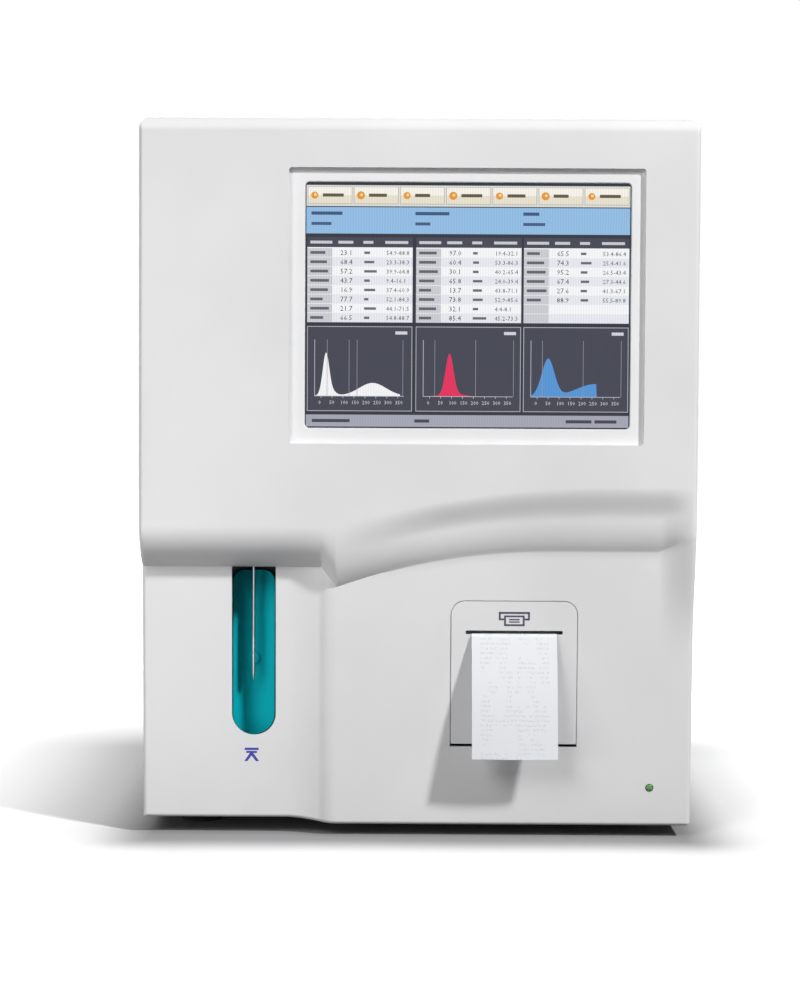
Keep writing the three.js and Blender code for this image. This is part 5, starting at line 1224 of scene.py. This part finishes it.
guard_arms = guard.copies(guard.join(arm, eye), size("Arms"),
                          Rotation=guard.vector(0.0, 0.0, number_on * (math.pi / 2) + math.pi / 4))
wires = guard.made("RealizeInstances", Geometry=guard.join(guard_rings, guard_arms))
guard_mesh = guard.mesh(guard.wire(wires, 8), bright_steel, "fan_guard_wires")
guard_mesh.transform(Matrix.Rotation(-math.pi / 2, 4, "X"))
guard_low, _, fan = box_of("fan_guard")
placed("fan_guard_wires", settle(shifted(guard_mesh, fan.x, guard_low.y + 0.8, fan.z)), bright_steel,
       node="fan_guard", edge=0, sharp=60)
fan_pitch = 71.5
corner = (fan.x - fan_pitch / 2, rear + 1.0, fan.z - fan_pitch / 2)
screws("fan_screws", pairs(corner, fan_pitch, (0, 0, fan_pitch)), faces_back, Radius=2.6, Thick=2.0)

inlet_x, inlet_z, plate_face = -120, 70, rear + 0.3
dressed("power_inlet", bay_plastic, 0.35)
for label, x, z in (("left", -7, -13), ("right", 7, -13), ("middle", 0, -9.5)):
    blade = block(inlet_x + x - 1.05, inlet_z + z - 2.05, 2.1, 4.1, plate_face - 16, plate_face - 3.9, 0.4)
    placed(f"mains_pin_{label}", blade, bright_steel, "bright_steel", edge=0.3, segments=1)
screws("inlet_screws", [(2, (-141.5, rear + 3.4, inlet_z), (43, 0, 0))], faces_back, Radius=2.4, Thick=1.0)

# The rocker's two marks, a bar and a ring, are moulded in white. A mask in its own place paints them.
rocker = Paint("rocker_paint")
across, along, up = rocker.parts(rocker.place)
mark_across, ring_up = (across - inlet_x * mm).size(), up - 82.4 * mm
bar_share = mark_across.under(0.35 * mm) * (up - 89.6 * mm).size().under(1.7 * mm)
ring_far = (mark_across * mark_across + ring_up * ring_up).work("SQRT")
mark_share = bar_share.most((ring_far - 1.5 * mm).size().under(0.32 * mm)) * along.over((rear + 2.5) * mm)
rocker.set(Base_Color=rocker.mixed(mark_share, colour(30, 31, 34), colour(236, 236, 236)),
           Roughness=rocker.cloud(300.0, 0.3, 0.42))
dressed("power_rocker", rocker.bumped(rocker.noise(1500.0, 1.0), 0.2, 0.03), 0.35, segments=3)

dressed("reagent_port_block", white_nylon, sharp=35)
port_x, port_pitch, socket_x = 72, 24, {"left": -39.5, "right": 13.5}
port_colours = (colour(40, 92, 170), colour(186, 52, 50), colour(44, 132, 76), colour(216, 168, 40))
for i, tone in enumerate(port_colours):
    collar = shifted(cut(round_bar(5.0, 3.2), round_bar(3.25, 8)), port_x + port_pitch * i, rear + 9.0, 77)
    tinted = moulded(f"collar_tone_{i + 1}", tone, 0.4, 1500.0)
    placed(f"port_collar_{i + 1}", collar, tinted, "nylon", edge=0.4)
rows = [(3, (port_x + port_pitch / 2, rear + 3.9, z), (port_pitch, 0, 0)) for z in (91.5, 62.5)]
screws("port_block_screws", rows, faces_back, Radius=2.3, Thick=1.5)


def numeral(text, x, z, high):
    """A plain number printed on the rear panel."""
    made = letters_of(text, size=high * mm, extrude=0.08 * mm, resolution_u=3, align_x="CENTER")
    made.transform(Matrix.Rotation(math.pi, 4, "Z") @ Matrix.Rotation(math.pi / 2, 4, "X"))
    return settle(shifted(made, x, rear, z))


numbers = [numeral(str(i + 1), port_x + port_pitch * i, 101, 7) for i in range(4)]
numbers += [numeral(str(i + 5), x, 94, 6) for i, x in enumerate(socket_x.values())]
placed("port_numbers", joined(numbers), pictogram_ink, "port")

dressed("port_plate", zinc_steel, 0.2)
gold = metal("gold_pins", colour(214, 180, 96), 0.25)
socket_face = plate_face + 1.2
for label, x in socket_x.items():
    insert = block(x - 14.2, 71.1, 28.4, 9.8, socket_face - 0.1, socket_face + 0.35, 1.8, 4)
    placed(f"{label}_socket_insert", insert, switch_plastic, "port", edge=0.12, segments=1)
    rows = [(count, (x - reach, socket_face + 2.2, z), (2.8, 0, 0))
            for count, reach, z in ((8, 9.8, 77.8), (7, 8.4, 74.4))]
    screws(f"{label}_socket_pins", rows, faces_back, gold, "brass", Sides=8, Radius=0.5, Thick=4.2,
           Taper=0.75, Cross_long=0.3, Depth=0.04)
    screws(f"{label}_jack_screws", [(2, (x - 19.2, socket_face + 1.9, 76), (38.4, 0, 0))], faces_back,
           Radius=2.7, Thick=4.0, Taper=0.97, Bore=0.52, **nut)
screws("port_plate_screws", pairs((-62.5, socket_face + 0.7, 86.5), 99, (0, 0, -21)), faces_back, Radius=2.0,
       Thick=1.4)

dressed("earth_post", brass, 0.2)
post = box_of("earth_post")[2]
wired(thread, thread_shape, "earth_post_thread", (post.x, rear + 4.8, post.z), brass, "brass",
      tilt=-math.pi / 2, Turns=8.0, Long=8.6, Reach=2.42, Wire=0.2)
earth_lines = [(-0.4, 0, 0.4, 4.2), (-3.4, -0.4, 3.4, 0.4), (-2.3, -2.0, 2.3, -1.2), (-1.2, -3.6, 1.2, -2.8)]
placed("earth_mark", prints(strokes(earth_lines, post.x, 65, 0.2), rear), pictogram_ink, "port")
